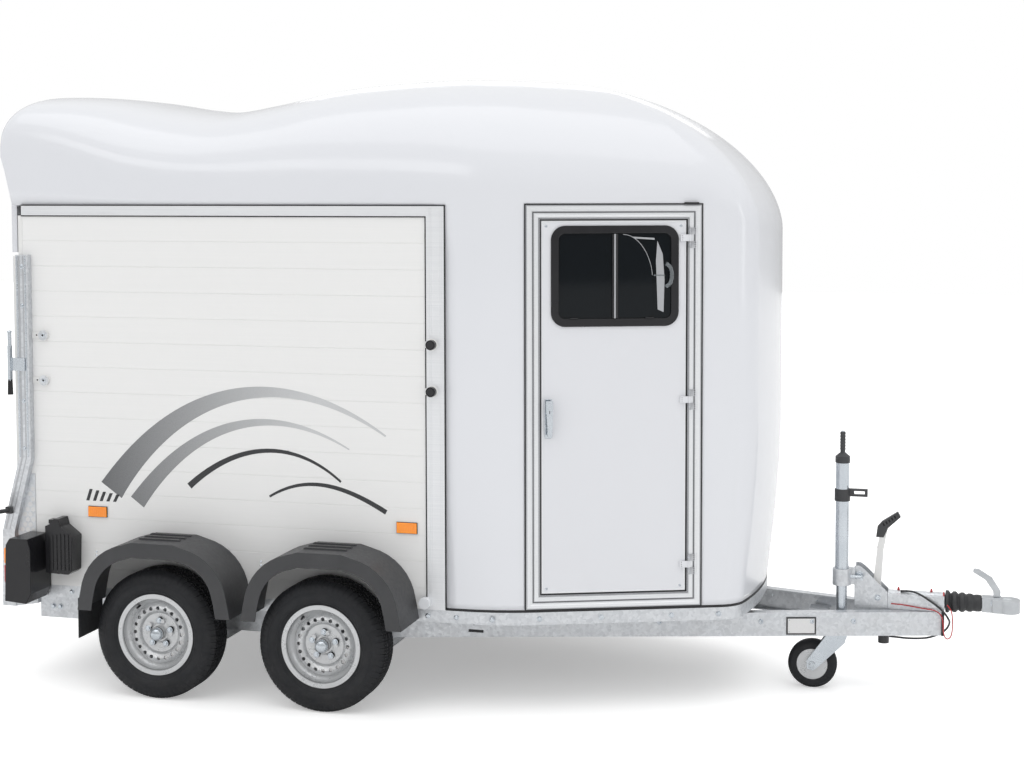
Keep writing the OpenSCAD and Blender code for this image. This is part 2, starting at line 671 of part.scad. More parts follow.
module top_flap() {
    color("white") placed() {
        x = 4 - flap_hinge_x;
        block([x, -ramp_w / 2, ramp_top + flap_gap], [x + flap_t, ramp_w / 2, flap_top - 14]);
        translate([-flap_hinge_x, 0, flap_top - 4]) rotate([90, 0, 0]) cylinder(d = 16, h = ramp_w - 200, center = true);
        block([-flap_hinge_x - 8, 100 - ramp_w / 2, flap_top - 40], [x + 1, ramp_w / 2 - 100, flap_top - 4]);
    }
}

module rear_lamps() {
    color("#1d1d1f") placed() sides()
        translate([-panel_rear, -half_w - 4 - 2 * clear, 0]) rotate([90, 0, 0]) linear_extrude(181) polygon([
            [-13, 400], [-5, 660], [15, 690], [105, 690], [121, 640], [121, 440], [95, 392]]);
}
module marker_lamps() {
    color("#1d1d1f") placed() sides() {
        translate([-panel_rear - 71, -half_w - post_out - 12, 790]) rotate([90, 0, -24]) cylinder(d = 20, h = 110);
        block([-panel_rear - 85, -half_w - post_out - 16, 775], [-panel_rear - 55, -half_w - post_out - 2 * clear, 806]);
        translate([-panel_rear - 125, -half_w - 140, 780]) block([-8, -40, 0], [26, 6, 60]);
    }
}
module reflectors() {
    color("orange") placed() sides() for (x = [-806, 690])
        block([x, -half_w - 10, 774], [x + 92, -half_w - clear, 820]);
}
module front_lamps() {
    color("white") placed() sides() translate([822, -half_w - rail_proud - clear, 474]) rotate([90, 0, 0])
        cylinder(d = 52, h = 30);
}
module wheel_chocks() {
    color("#222222") placed() sides() translate([-panel_rear, -half_w - clear, 0]) rotate([90, 0, 0])
        linear_extrude(90) polygon([
            [142, 520], [142, 735], [165, 745], [185, 770], [210, 770], [220, 735], [280, 690],
            [275, 530], [255, 515]]);
}
module bar_knobs() {
    color("#1a1a1a") placed() sides() for (z = [1398, 1601])
        translate([breast_x, -half_w - rail_proud - clear, z]) rotate([90, 0, 0]) cylinder(d = 44, h = 30);
}
module bar_brackets() {
    color("gainsboro") placed() sides() for (z = [1396, 1604])
        translate([-panel_rear + 43.5, -half_w - clear, z]) rotate([90, 0, 0]) {
            translate([0, -16, 0]) cube([80, 32, 5]);
            translate([62, 0, 0]) cylinder(d = 44, h = 16);
        }
}

// Door frame, leaf, window and handle in the slanted wall's frame.
leaf_u0 = jamb + door_gap;
leaf_u1 = door_w - jamb - door_gap;
leaf_z0 = door_z + jamb + door_gap;
leaf_z1 = door_top - jamb - door_gap;
hinge_u = door_w - jamb + 8;
hinge_v = -11;
door_hinges = [door_z + 184, (door_z + door_top) / 2 + 30, door_top - 144];
module door_frame() {
    on_wall() {
        difference() {
            block([0, -4, door_z], [door_w, door_depth, door_top]);
            block([jamb, -10, door_z + jamb], [door_w - jamb, shell_t + 20, door_top - jamb]);
        }
        difference() {
            block([jamb - 1, leaf_t + 6, door_z + jamb - 1], [door_w - jamb + 1, door_depth, door_top - jamb + 1]);
            block([jamb + 20, 0, door_z + jamb + 20], [door_w - jamb - 20, shell_t + 20, door_top - jamb - 20]);
        }
        for (z = door_hinges) {
            for (d = [-44, 15]) translate([hinge_u, hinge_v, z + d]) cylinder(d = 12, h = 29);
            for (d = [-44, 15]) block([hinge_u, hinge_v, z + d], [hinge_u + 26, -3.5, z + d + 29]);
        }
    }
}
module door_frame_right() {
    color("silver") placed() door_frame();
}
module door_frame_left() {
    color("silver") placed() mirror([0, 1, 0]) door_frame();
}
module door_leaf() {
    on_wall() {
        difference() {
            block([leaf_u0, 0, leaf_z0], [leaf_u1, leaf_t, leaf_z1]);
            translate([window_u + 12, leaf_t + 1, window_z + 12]) rotate([90, 0, 0]) linear_extrude(leaf_t + 2)
                rounded(window_w - 24, window_h - 24, window_r - 12);
        }
        for (z = door_hinges) {
            translate([hinge_u, hinge_v, z - 14.5]) cylinder(d = 12, h = 29);
            block([leaf_u1 - 26, hinge_v - 1, z - 14.5], [hinge_u, hinge_v + 5, z + 14.5]);
            block([leaf_u1 - 26, hinge_v, z - 14.5], [leaf_u1 - 6, 1, z + 14.5]);
        }
    }
}
module window_frame() {
    on_wall() translate([window_u, 0, window_z]) rotate([90, 0, 0]) difference() {
        union() {
            translate([0, 0, clear]) linear_extrude(8) rounded(window_w, window_h, window_r);
            translate([12.3, 12.3, -leaf_t]) linear_extrude(leaf_t + 1)
                rounded(window_w - 24.6, window_h - 24.6, window_r - 12);
        }
        translate([window_rim, window_rim, -leaf_t - 1]) linear_extrude(leaf_t + 20)
            rounded(window_w - 2 * window_rim, window_h - 2 * window_rim, window_r - window_rim);
    }
}
module window_pane() {
    on_wall() translate([window_u, 0, window_z]) rotate([90, 0, 0]) {
        u = window_rim + clear;
        translate([u, u, -6]) linear_extrude(pane_t)
            rounded(window_w - 2 * u, window_h - 2 * u, window_r - u);
        translate([window_w / 2 - 12, u, -1.7]) linear_extrude(pane_t) square([24, window_h - 2 * u]);
    }
}
module door_handle() {
    on_wall() translate([99, 0, 1200]) {
        block([-16, -5, 0], [16, -clear, 170]);
        block([-9, -34, 128], [9, -4, 150]);
        block([-9, -42, 12], [9, -26, 150]);
    }
}
module door_right() {
    color("white") placed() door_leaf();
}
module door_left() {
    color("white") placed() mirror([0, 1, 0]) door_leaf();
}
module window_frame_right() {
    color("#18181a") placed() window_frame();
}
module window_frame_left() {
    color("#18181a") placed() mirror([0, 1, 0]) window_frame();
}
module window_pane_right() {
    color("#333a3f") placed() window_pane();
}
module window_pane_left() {
    color("#333a3f") placed() mirror([0, 1, 0]) window_pane();
}
module door_handle_right() {
    color("silver") placed() door_handle();
}
module door_handle_left() {
    color("silver") placed() mirror([0, 1, 0]) door_handle();
}

// Inside: the partition with its two posts, the breast and breech bars.
module partition() {
    color("gray") placed() {
        block([-breech_x + 45, -partition_t / 2, partition_z], [breast_x - 45, partition_t / 2, partition_top]);
        for (x = [-breech_x, breast_x])
            translate([x, 0, floor_top]) cylinder(d = 50, h = partition_top + 20 - floor_top);
        for (x = [-breech_x, breast_x - 50], z = [partition_z + 100, partition_top - 100])
            block([x, -8, z], [x + 50, 8, z + 40]);
    }
}
module bars() {
    color("#26262a") placed() for (x = [-breech_x, breast_x], s = [-1, 1]) {
        translate([x, s < 0 ? -half_w + panel_t + clear : 25 + clear, bar_z]) rotate([-90, 0, 0])
            cylinder(d = bar_d, h = half_w - panel_t - 25 - 2 * clear);
    }
}

// Drawbar fittings.
module overrun_housing() {
    color("lightsteelblue") placed() difference() {
        union() {
            block([housing_x0, -45, beam_top + clear], [housing_x1, 45, coupling_z + 29]);
            translate([housing_x0, 0, coupling_z]) rotate([0, 90, 0]) cylinder(d = 78, h = housing_x1 - housing_x0);
        }
        translate([housing_x0 - 44, 0, coupling_z]) rotate([0, 90, 0]) cylinder(d = 46, h = 320);
    }
}
module bellows() {
    color("#1b1b1b") placed() translate([housing_x1 + clear, 0, coupling_z]) rotate([0, 90, 0]) rotate_extrude() polygon(concat(
        [[24, 0]], [for (i = [0 : 4]) each [[50 - i * 3, i * 33 + 4], [50 - i * 3, i * 33 + 16], [36, i * 33 + 26]]],
        [[34, 161], [24, 161]]));
}
module coupling_head() {
    color("silver") placed() difference() {
        union() {
            translate([housing_x0 + 16, 0, coupling_z]) rotate([0, 90, 0]) cylinder(d = 44, h = ball_x - housing_x0 - 107);
            block([ball_x - 115, -30, coupling_z - 34], [ball_x - 31, 30, coupling_z + 33]);
            translate([ball_x, 0, coupling_z - 34]) cylinder(d = 2 * (tip_x - ball_x), h = 60);
            translate([ball_x, 0, coupling_z - 6]) sphere(d = 2 * (tip_x - ball_x) - 20);
            block([ball_x - 71, -40, coupling_z - 34], [ball_x, 40, coupling_z + 26]);
        }
        translate([ball_x, 0, coupling_z - 60]) cylinder(d = socket_d, h = 50);
        translate([ball_x, 0, coupling_z - 10]) sphere(d = socket_d);
        block([ball_x - 91, -60, coupling_z - 80], [tip_x + 10, 60, coupling_z - 34]);
    }
    color("silver") placed() coupling_handle();
}
module coupling_handle() {
    translate([ball_x, 0, coupling_z]) rotate([90, 0, 0]) translate([0, 0, -10]) linear_extrude(20) polygon([
        [-65, 33.3], [-37, 33.3], [-35, 59], [-73, 119], [-131, 155], [-153, 155], [-155, 141], [-101, 109],
        [-67, 59]]);
}
// Gusset of the overrun unit with the ring that clamps the jockey tube.
module overrun_bracket() {
    x = housing_x0 - 148;
    color("lightsteelblue") placed() {
        for (y = [-46, 38]) translate([0, y + 8, 0]) rotate([90, 0, 0]) linear_extrude(8) polygon([
            [x, beam_top + clear], [housing_x0 - clear, beam_top + clear], [housing_x0 - clear, 446], [x + 44, 545],
            [x + 22, 560], [x, 560]]);
        block([x, -46, beam_top + clear], [housing_x0 - clear, 46, beam_top + 8]);
        translate([jockey_x, -jockey_y, 0]) difference() {
            union() {
                translate([0, 0, 478]) cylinder(d = jockey_d + 22, h = 76);
                block([0, 10, 478], [58, 39.9, 554]);
            }
            translate([0, 0, 300]) cylinder(d = jockey_d + 2 * clear, h = 400);
        }
    }
}
// Handbrake lever with its grip, standing in the bracket.
module handbrake() {
    color("whitesmoke") placed() translate([housing_x0, 0, beam_top]) rotate([90, 0, 0]) {
        translate([0, 0, -13.7]) linear_extrude(27.4) polygon([
            [-80, 8.3], [-28, 8.3], [-32, 100], [-22, 270], [-50, 270], [-68, 100]]);
        translate([0, 0, -12]) linear_extrude(24) polygon([
            [-52, 269], [-21, 269], [-4, 365], [51, 416], [38, 436], [-28, 390]]);
    }
}
module jockey_place() {
    placed() translate([jockey_x, -jockey_y, 0]) children();
}
stem_top = 900;
module jockey_tube() {
    color("lightsteelblue") jockey_place() {
        translate([0, 0, 476]) tube(jockey_d, 4, jockey_top - 476);
        translate([0, 0, 300]) cylinder(d = stem_d, h = stem_top - 300);
        translate([0, 0, 476]) cylinder(d = jockey_d - 1, h = 20);
    }
}
// Black grips of the jockey wheel: the cap with its crank handle, and the clamp collar's loop.
module jockey_grips() {
    color("#1b1b1b") jockey_place() {
        translate([0, 0, jockey_top + clear]) cylinder(d = jockey_d + 6, h = 30);
        translate([0, 0, jockey_top + 30]) cylinder(d1 = jockey_d + 4, d2 = 26, h = 16);
        translate([0, 0, jockey_top + 45]) cylinder(d = 22, h = 96);
        difference() {
            union() {
                translate([0, 0, 862]) cylinder(d = jockey_d + 10, h = 54);
                translate([28, -11, 884]) cube([84, 22, 34]);
            }
            translate([0, 0, 800]) cylinder(d = jockey_d + 2 * clear, h = 200);
            translate([52, -20, 893]) cube([48, 40, 16]);
        }
    }
}
module jockey_fork() {
    color("lightsteelblue") jockey_place() {
        translate([0, 0, 250]) cylinder(d = 50, h = 49.7);
        block([-60, -44, 244], [28, 44, 254]);
        for (s = [-1, 1]) rotate([90, 0, 0]) translate([0, 0, s * 41 - 3]) linear_extrude(6) polygon([
            [28, 254], [-60, 254], [-trail - 24, 128], [-trail - 22, 90], [-trail + 6, 84], [-trail + 30, 104],
            [20, 220]]);
        translate([-trail, 0, jwheel_d / 2]) rotate([90, 0, 0]) cylinder(d = 16, h = 96, center = true);
    }
}
module jockey_wheel() {
    placed() translate([jockey_x - trail, -jockey_y, jwheel_d / 2]) rotate([90, 0, 0]) {
        r = jwheel_d / 2;
        w = jwheel_w / 2;
        color("#222222") rotate_extrude() polygon([
            [r - 40, -w], [r - 16, -w], [r, -w + 14], [r, w - 14], [r - 16, w], [r - 40, w]]);
        color("silver") rotate_extrude() polygon([
            [9, -w - 2], [22, -w - 2], [22, -6], [r - 52, -6], [r - 40.3, -w + 2], [r - 40.3, w - 2],
            [r - 52, 6], [22, 6], [22, w + 2], [9, w + 2]]);
    }
}
module type_plate() {
    color("#1a1a1a") placed() {
        x = 2310;
        translate([x, -(rails_y - (x - draw_x) * draw_slope) - clear, 270]) rotate([0, 0, atan(draw_slope)])
            block([0, -3, 0], [134, 0, 80]);
    }
}
module plug_holder() {
    color("#1a1a1a") placed() {
        block([2700, 80, 236], [2740, 112, rail_z - clear]);
        translate([2720, 96, 180]) cylinder(d = 50, h = 57);
    }
}

// Cables held at both ends, swept along points chosen by hand.
electric_route = [
    [2800, -20, 449.9], [2825, -22, 452], [2855, -30, 452], [2890, -48, 444], [2930, -58, 422],
    [2965, -60, 398], [2996, -57, 368], [3012, -42, 340], [3016, 0, 318], [3012, 40, 292], [2998, 66, 264],
    [2970, 84, 238], [2920, 92, 216], [2870, 96, 208], [2820, 97, 206], [2780, 96.5, 208], [2745.5, 96, 209]
];
breakaway_route = [
    [2760, -48, 396], [2800, -49, 395], [2850, -51, 390], [2900, -53, 384], [2945, -57, 380], [2968, -65, 372],
    [2984, -71, 354], [2990, -72, 320], [2992, -72, 285], [3000, -70, 262], [3012, -66, 256], [3024, -62, 268],
    [3030, -60, 300], [3030, -58, 345], [3024, -56, 380], [3006, -53, 407]
];
function unit(v) = v / norm(v);
function along(route, i) = unit(route[min(i + 1, len(route) - 1)] - route[max(i - 1, 0)]);
// Tube of diameter d along a route, one ring of sides at each point.
module cable(route, d, sides) {
    rings = len(route);
    pts = [for (i = [0 : rings - 1]) let (
        t = along(route, i),
        u = unit(cross(t, abs(t[1]) < 0.9 ? [0, 1, 0] : [1, 0, 0])),
        v = cross(t, u))
        for (k = [0 : sides - 1]) route[i] + d / 2 * (u * cos(360 * k / sides) + v * sin(360 * k / sides))];
    walls = [for (i = [0 : rings - 2], k = [0 : sides - 1]) let (a = i * sides + k, b = i * sides + (k + 1) % sides)
        each [[a, b + sides, b], [a, a + sides, b + sides]]];
    polyhedron(points = pts, faces = concat(walls, [[for (k = [0 : sides - 1]) k]],
        [[for (k = [sides - 1 : -1 : 0]) (rings - 1) * sides + k]]), convexity = 4);
}
module electric_cable() {
    color("#151515") placed() cable(electric_route, 9, 8);
}
module breakaway_cable() {
    color("red") placed() cable(breakaway_route, 5, 8);
}

nose();
roof();
rear_header();
side_panel_right();
side_panel_left();
side_rails();
floor_panel();
floor_frame();
chassis();
axle_front();
axle_rear();
mudguards_right();
mudguards_left();
mudflaps();
rear_posts();
rear_frame();
ramp_hinges();
ramp();
ramp_rubber();
ramp_latches();
top_flap();
rear_lamps();
marker_lamps();
reflectors();
front_lamps();
wheel_chocks();
bar_knobs();
bar_brackets();
door_frame_right();
door_frame_left();
door_right();
door_left();
window_frame_right();
window_frame_left();
window_pane_right();
window_pane_left();
door_handle_right();
door_handle_left();
partition();
bars();
overrun_housing();
bellows();
coupling_head();
overrun_bracket();
handbrake();
jockey_tube();
jockey_grips();
jockey_fork();
jockey_wheel();
electric_cable();
breakaway_cable();
wheel_at(front_axle, -1) tyre();  // tyre_front_right
wheel_at(front_axle, 1) tyre();  // tyre_front_left
wheel_at(rear_axle, -1) tyre();  // tyre_rear_right
wheel_at(rear_axle, 1) tyre();  // tyre_rear_left
wheel_at(front_axle, -1) rim();  // rim_front_right
wheel_at(front_axle, 1) rim();  // rim_front_left
wheel_at(rear_axle, -1) rim();  // rim_rear_right
wheel_at(rear_axle, 1) rim();  // rim_rear_left
union() { type_plate(); plug_holder(); }  // drawbar_fittings
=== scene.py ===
"""Looks of a two-stall horse trailer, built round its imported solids.

Lengths are millimetres in the part's own frame, whose X starts midway between the axles.
Row turns them into the metres of the shared frame.
"""

from __future__ import annotations

import json
import logging
import math
from dataclasses import dataclass, field
from enum import Enum
from typing import Iterable, Sequence

import bmesh
import bpy
from mathutils import Matrix, Vector

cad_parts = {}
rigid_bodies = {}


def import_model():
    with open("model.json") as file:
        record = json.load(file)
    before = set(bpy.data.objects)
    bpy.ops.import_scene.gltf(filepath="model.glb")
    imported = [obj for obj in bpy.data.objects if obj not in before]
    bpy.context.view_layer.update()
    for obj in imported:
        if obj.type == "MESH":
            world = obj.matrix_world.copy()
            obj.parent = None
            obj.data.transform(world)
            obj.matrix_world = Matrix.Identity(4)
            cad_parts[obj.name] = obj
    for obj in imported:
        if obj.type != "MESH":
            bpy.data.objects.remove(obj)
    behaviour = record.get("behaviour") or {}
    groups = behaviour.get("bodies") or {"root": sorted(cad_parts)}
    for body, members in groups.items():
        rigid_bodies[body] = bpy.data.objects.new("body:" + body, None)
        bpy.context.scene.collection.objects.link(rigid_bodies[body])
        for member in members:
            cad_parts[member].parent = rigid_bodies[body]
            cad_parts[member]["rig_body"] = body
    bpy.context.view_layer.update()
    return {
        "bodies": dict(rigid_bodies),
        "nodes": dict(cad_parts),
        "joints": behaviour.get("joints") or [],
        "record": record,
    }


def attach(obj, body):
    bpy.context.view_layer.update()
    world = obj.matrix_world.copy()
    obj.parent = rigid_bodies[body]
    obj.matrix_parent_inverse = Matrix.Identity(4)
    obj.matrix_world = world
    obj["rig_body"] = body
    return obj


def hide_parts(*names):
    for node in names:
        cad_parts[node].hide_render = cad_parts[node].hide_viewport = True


log = logging.getLogger("trailer")

MID_X = 1037.0
HALF_W = 873.0
SIDE_FRONT = 911.0
SIDE_TOP = 2200.0
PANEL_TOP = 2154.0
PANEL_REAR = -1125.0
PANEL_FRONT = 828.0
FLOOR_Z = 443.0
TAPER = math.radians(21.8)
PLAN_CORNER = 1139.0
DOOR_W = 768.0
DOOR_Z = 456.0
DOOR_TOP = 2204.0
DOOR_X = PLAN_CORNER + 128.0 * math.cos(TAPER)
DOOR_Y = HALF_W - 128.0 * math.sin(TAPER)
JAMB = 62.0
NOSE_X = 2243.0
WHEEL_Z = 290.0
TRACK = 1942.0
AXLES = {"front": 394.0, "rear": -394.0}
RAILS_Y = 770.0
DRAW_X = 394.0
DRAW_SLOPE = 730.0 / 2596.0
RAIL_Z = 263.0
BEAM_TOP = 370.0
JOCKEY_X = 2541.0
JOCKEY_Y = 78.0
COUPLING_Z = 411.0


class Side(Enum):
    """The two sides of the trailer, with the sign of Y."""

    RIGHT = -1
    LEFT = 1

    @property
    def word(self) -> str:
        """Returns the side's word in piece and body names."""
        return self.name.lower()


def row(x: float, y: float, z: float) -> Vector:
    """Turns the part's millimetres into the shared frame's metres.

    Args:
        x: Length forward from midway between the axles.
        y: Length to the left of the centre line.
        z: Height over the ground.

    Returns:
        The point in metres.
    """
    return Vector(((x - MID_X) / 1000.0, y / 1000.0, z / 1000.0))


def wall_frame(side: Side) -> Matrix:
    """Gives the slanted door wall's frame: X along the wall, outside at -Y, in millimetres.

    Args:
        side: The side of the trailer.

    Returns:
        The matrix from the wall's frame to the part's frame.
    """
    base = Matrix.Translation((DOOR_X, -DOOR_Y, 0.0)) @ Matrix.Rotation(TAPER, 4, "Z")
    return base if side is Side.RIGHT else Matrix.Diagonal((1, -1, 1, 1)) @ base


def side_frame(side: Side) -> Matrix:
    """Gives a frame whose outside is -Y for the right side and mirrored for the left.

    Args:
        side: The side of the trailer.

    Returns:
        The matrix from the side's frame to the part's frame.
    """
    return Matrix.Identity(4) if side is Side.RIGHT else Matrix.Diagonal((1, -1, 1, 1))


@dataclass
class Shape:
    """Faces gathered in millimetres, with the frame that they are given in."""

    frame: Matrix = field(default_factory=lambda: Matrix.Identity(4))
    points: list[Vector] = field(default_factory=list)
    faces: list[list[int]] = field(default_factory=list)
    marks: list[int] = field(default_factory=list)
    mark: int = 0

    def add(self, points: Iterable[Sequence[float]], faces: Iterable[Sequence[int]]) -> "Shape":
        """Adds faces over their own points.

        Args:
            points: The points in the current frame.
            faces: Rows of indices into those points, outside anticlockwise.

        Returns:
            This shape.
        """
        base = len(self.points)
        flip = self.frame.to_3x3().determinant() < 0
        for p in points:
            q = self.frame @ Vector(p)
            self.points.append(row(q.x, q.y, q.z))
        for f in faces:
            ids = [base + i for i in f]
            self.faces.append(ids[::-1] if flip else ids)
            self.marks.append(self.mark)
        return self

    def box(self, low: Sequence[float], high: Sequence[float]) -> "Shape":
        """Adds a box between two corners.

        Args:
            low: The lowest corner.
            high: The highest corner.

        Returns:
            This shape.
        """
        (a, b, c), (d, e, f) = low, high
        pts = [(a, b, c), (d, b, c), (d, e, c), (a, e, c), (a, b, f), (d, b, f), (d, e, f), (a, e, f)]
        return self.add(pts, [(3, 2, 1, 0), (4, 5, 6, 7), (0, 1, 5, 4), (1, 2, 6, 5), (2, 3, 7, 6), (3, 0, 4, 7)])

    def grid(self, rows: Sequence[Sequence[Sequence[float]]], closed: bool = False) -> "Shape":
        """Adds a sheet over rows of points.

        Args:
            rows: Rows of equally many points.
            closed: Whether each row's end joins its start.

        Returns:
            This shape.
        """
        cols = len(rows[0])
        faces = []
        for i in range(len(rows) - 1):
            for j in range(cols if closed else cols - 1):
                k = (j + 1) % cols
                faces.append((i * cols + j, i * cols + k, (i + 1) * cols + k, (i + 1) * cols + j))
        return self.add([p for r in rows for p in r], faces)

    def prism(self, outline: Sequence[tuple[float, float]], low: float, high: float, axis: str = "y") -> "Shape":
        """Adds an outline drawn out along an axis.

        Args:
            outline: Anticlockwise points: (x, z) for axis y, (x, y) for z, (y, z) for x.
            low: Where it starts on the axis.
            high: Where it ends on the axis.
            axis: The axis of the extrusion.

        Returns:
            This shape.
        """
        put = {
            "y": lambda p, t: (p[0], t, p[1]),
            "z": lambda p, t: (p[0], p[1], t),
            "x": lambda p, t: (t, p[0], p[1]),
        }[axis]
        n = len(outline)
        pts = [put(p, low) for p in outline] + [put(p, high) for p in outline]
        sides = [(i, (i + 1) % n, n + (i + 1) % n, n + i) for i in range(n)]
        faces = [tuple(range(n))[::-1], tuple(range(n, 2 * n)), *sides]
        if axis == "y":
            faces = [f[::-1] for f in faces]
        return self.add(pts, faces)

    def lathe(
        self,
        profile: Sequence[tuple[float, float]],
        origin: Sequence[float],
        axis: Sequence[float],
        steps: int = 48,
        closed: bool = False,
    ) -> "Shape":
        """Turns a profile about an axis.

        Args:
            profile: Points (radius, height along the axis), outside on the right hand when rising.
            origin: A point on the axis at height 0.
            axis: The axis' direction.
            steps: How many sides the round has.
            closed: Whether the profile's end joins its start.

        Returns:
            This shape.
        """
        w = Vector(axis).normalized()
        u = w.orthogonal().normalized()
        v = w.cross(u)
        o = Vector(origin)
        pts: list[Vector] = []
        for r, h in profile:
            for k in range(steps):
                a = 2 * math.pi * k / steps
                pts.append(o + w * h + (u * math.cos(a) + v * math.sin(a)) * r)
        n = len(profile)
        faces = []
        for i in range(n if closed else n - 1):
            j = (i + 1) % n
            for k in range(steps):
                m = (k + 1) % steps
                faces.append((i * steps + k, i * steps + m, j * steps + m, j * steps + k))
        if not closed:
            if profile[0][0] > 1e-6:
                faces.append(tuple(range(steps))[::-1])
            if profile[-1][0] > 1e-6:
                faces.append(tuple((n - 1) * steps + k for k in range(steps)))
        return self.add(pts, faces)

    def rod(self, a: Sequence[float], b: Sequence[float], r: float, end: float | None = None, steps: int = 24) -> "Shape":
        """Adds a round bar between two points.

        Args:
            a: The first end.
            b: The second end.
            r: The radius at the first end.
            end: The radius at the second end, or the same.
            steps: How many sides the round has.

        Returns:
            This shape.
        """
        d = Vector(b) - Vector(a)
        return self.lathe([(r, 0.0), (end if end is not None else r, d.length)], a, d, steps)

    def hexagon(self, centre: Sequence[float], axis: Sequence[float], across: float, height: float) -> "Shape":
        """Adds a bolt head with its washer.

        Args:
            centre: The middle of its seat.
            axis: The direction that it points to.
            across: The width across its corners.
            height: The head's height.

        Returns:
            This shape.
        """
        c = Vector(centre)
        w = Vector(axis).normalized()
        self.lathe([(across * 0.72, 0.0), (across * 0.72, height * 0.2), (across * 0.66, height * 0.3)], c, w, 20)
        return self.lathe([(across / 2, height * 0.2), (across / 2, height * 0.85), (across * 0.42, height)], c, w, 6)

    def dome(self, centre: Sequence[float], axis: Sequence[float], r: float, height: float, steps: int = 20) -> "Shape":
        """Adds a low round head, as of a rivet or screw.

        Args:
            centre: The middle of its seat.
            axis: The direction that it points to.
            r: Its radius.
            height: Its height.
            steps: How many sides the round has.

        Returns:
            This shape.
        """
        arc = [(r * math.cos(math.radians(a)), height * math.sin(math.radians(a))) for a in (0, 30, 55, 75)]
        return self.lathe([(r, -0.4), *arc, (0.02, height)], centre, axis, steps)

    def tube(self, route: Sequence[Sequence[float]], r: float, steps: int = 10, fine: int = 1) -> "Shape":
        """Adds a round tube along a route.

        Args:
            route: The points that it follows.
            r: Its radius.
            steps: How many sides the round has.
            fine: How many pieces a stretch is split into, on a smooth curve.

        Returns:
            This shape.
        """
        pts = smooth_route(route, fine)
        rows = []
        normal = None
        for i, p in enumerate(pts):
            t = (pts[min(i + 1, len(pts) - 1)] - pts[max(i - 1, 0)]).normalized()
            if normal is None:
                normal = t.orthogonal().normalized()
            normal = (normal - t * normal.dot(t)).normalized()
            other = t.cross(normal)
            rows.append([
                p + (normal * math.cos(2 * math.pi * k / steps) + other * math.sin(2 * math.pi * k / steps)) * r
                for k in range(steps)
            ])
        self.grid(rows, closed=True)
        n = len(rows)
        self.add(rows[0], [tuple(range(steps))[::-1]])
        return self.add(rows[n - 1], [tuple(range(steps))])

    def loop(self, corners: Sequence[tuple[float, float]], profile: Sequence[tuple[float, float]]) -> "Shape":
        """Sweeps a profile round a rectangle on the frame's outer face, with mitred corners.

        Args:
            corners: The rectangle's (u0, z0) and (u1, z1).
            profile: Points (inward from the rectangle, outward from the face).

        Returns:
            This shape.
        """
        (u0, z0), (u1, z1) = corners
        rows = []
        for d, h in profile:
            rows.append([(u0 + d, -h, z0 + d), (u1 - d, -h, z0 + d), (u1 - d, -h, z1 - d), (u0 + d, -h, z1 - d)])
        return self.grid([r[::-1] for r in rows], closed=True)


def smooth_route(route: Sequence[Sequence[float]], fine: int) -> list[Vector]:
    """Lays a smooth curve through a route's points.

    Args:
        route: The points.
        fine: How many pieces each stretch is split into.

    Returns:
        The points of the curve.
    """
    pts = [Vector(p) for p in route]
    if fine < 2:
        return pts
    out = []
    for i in range(len(pts) - 1):
        a, b, c, d = pts[max(i - 1, 0)], pts[i], pts[i + 1], pts[min(i + 2, len(pts) - 1)]
        for k in range(fine):
            t = k / fine
            out.append(
                0.5 * ((2 * b) + (c - a) * t + (2 * a - 5 * b + 4 * c - d) * t * t + (3 * b - a - 3 * c + d) * t ** 3)
            )
    out.append(pts[-1])
    return out


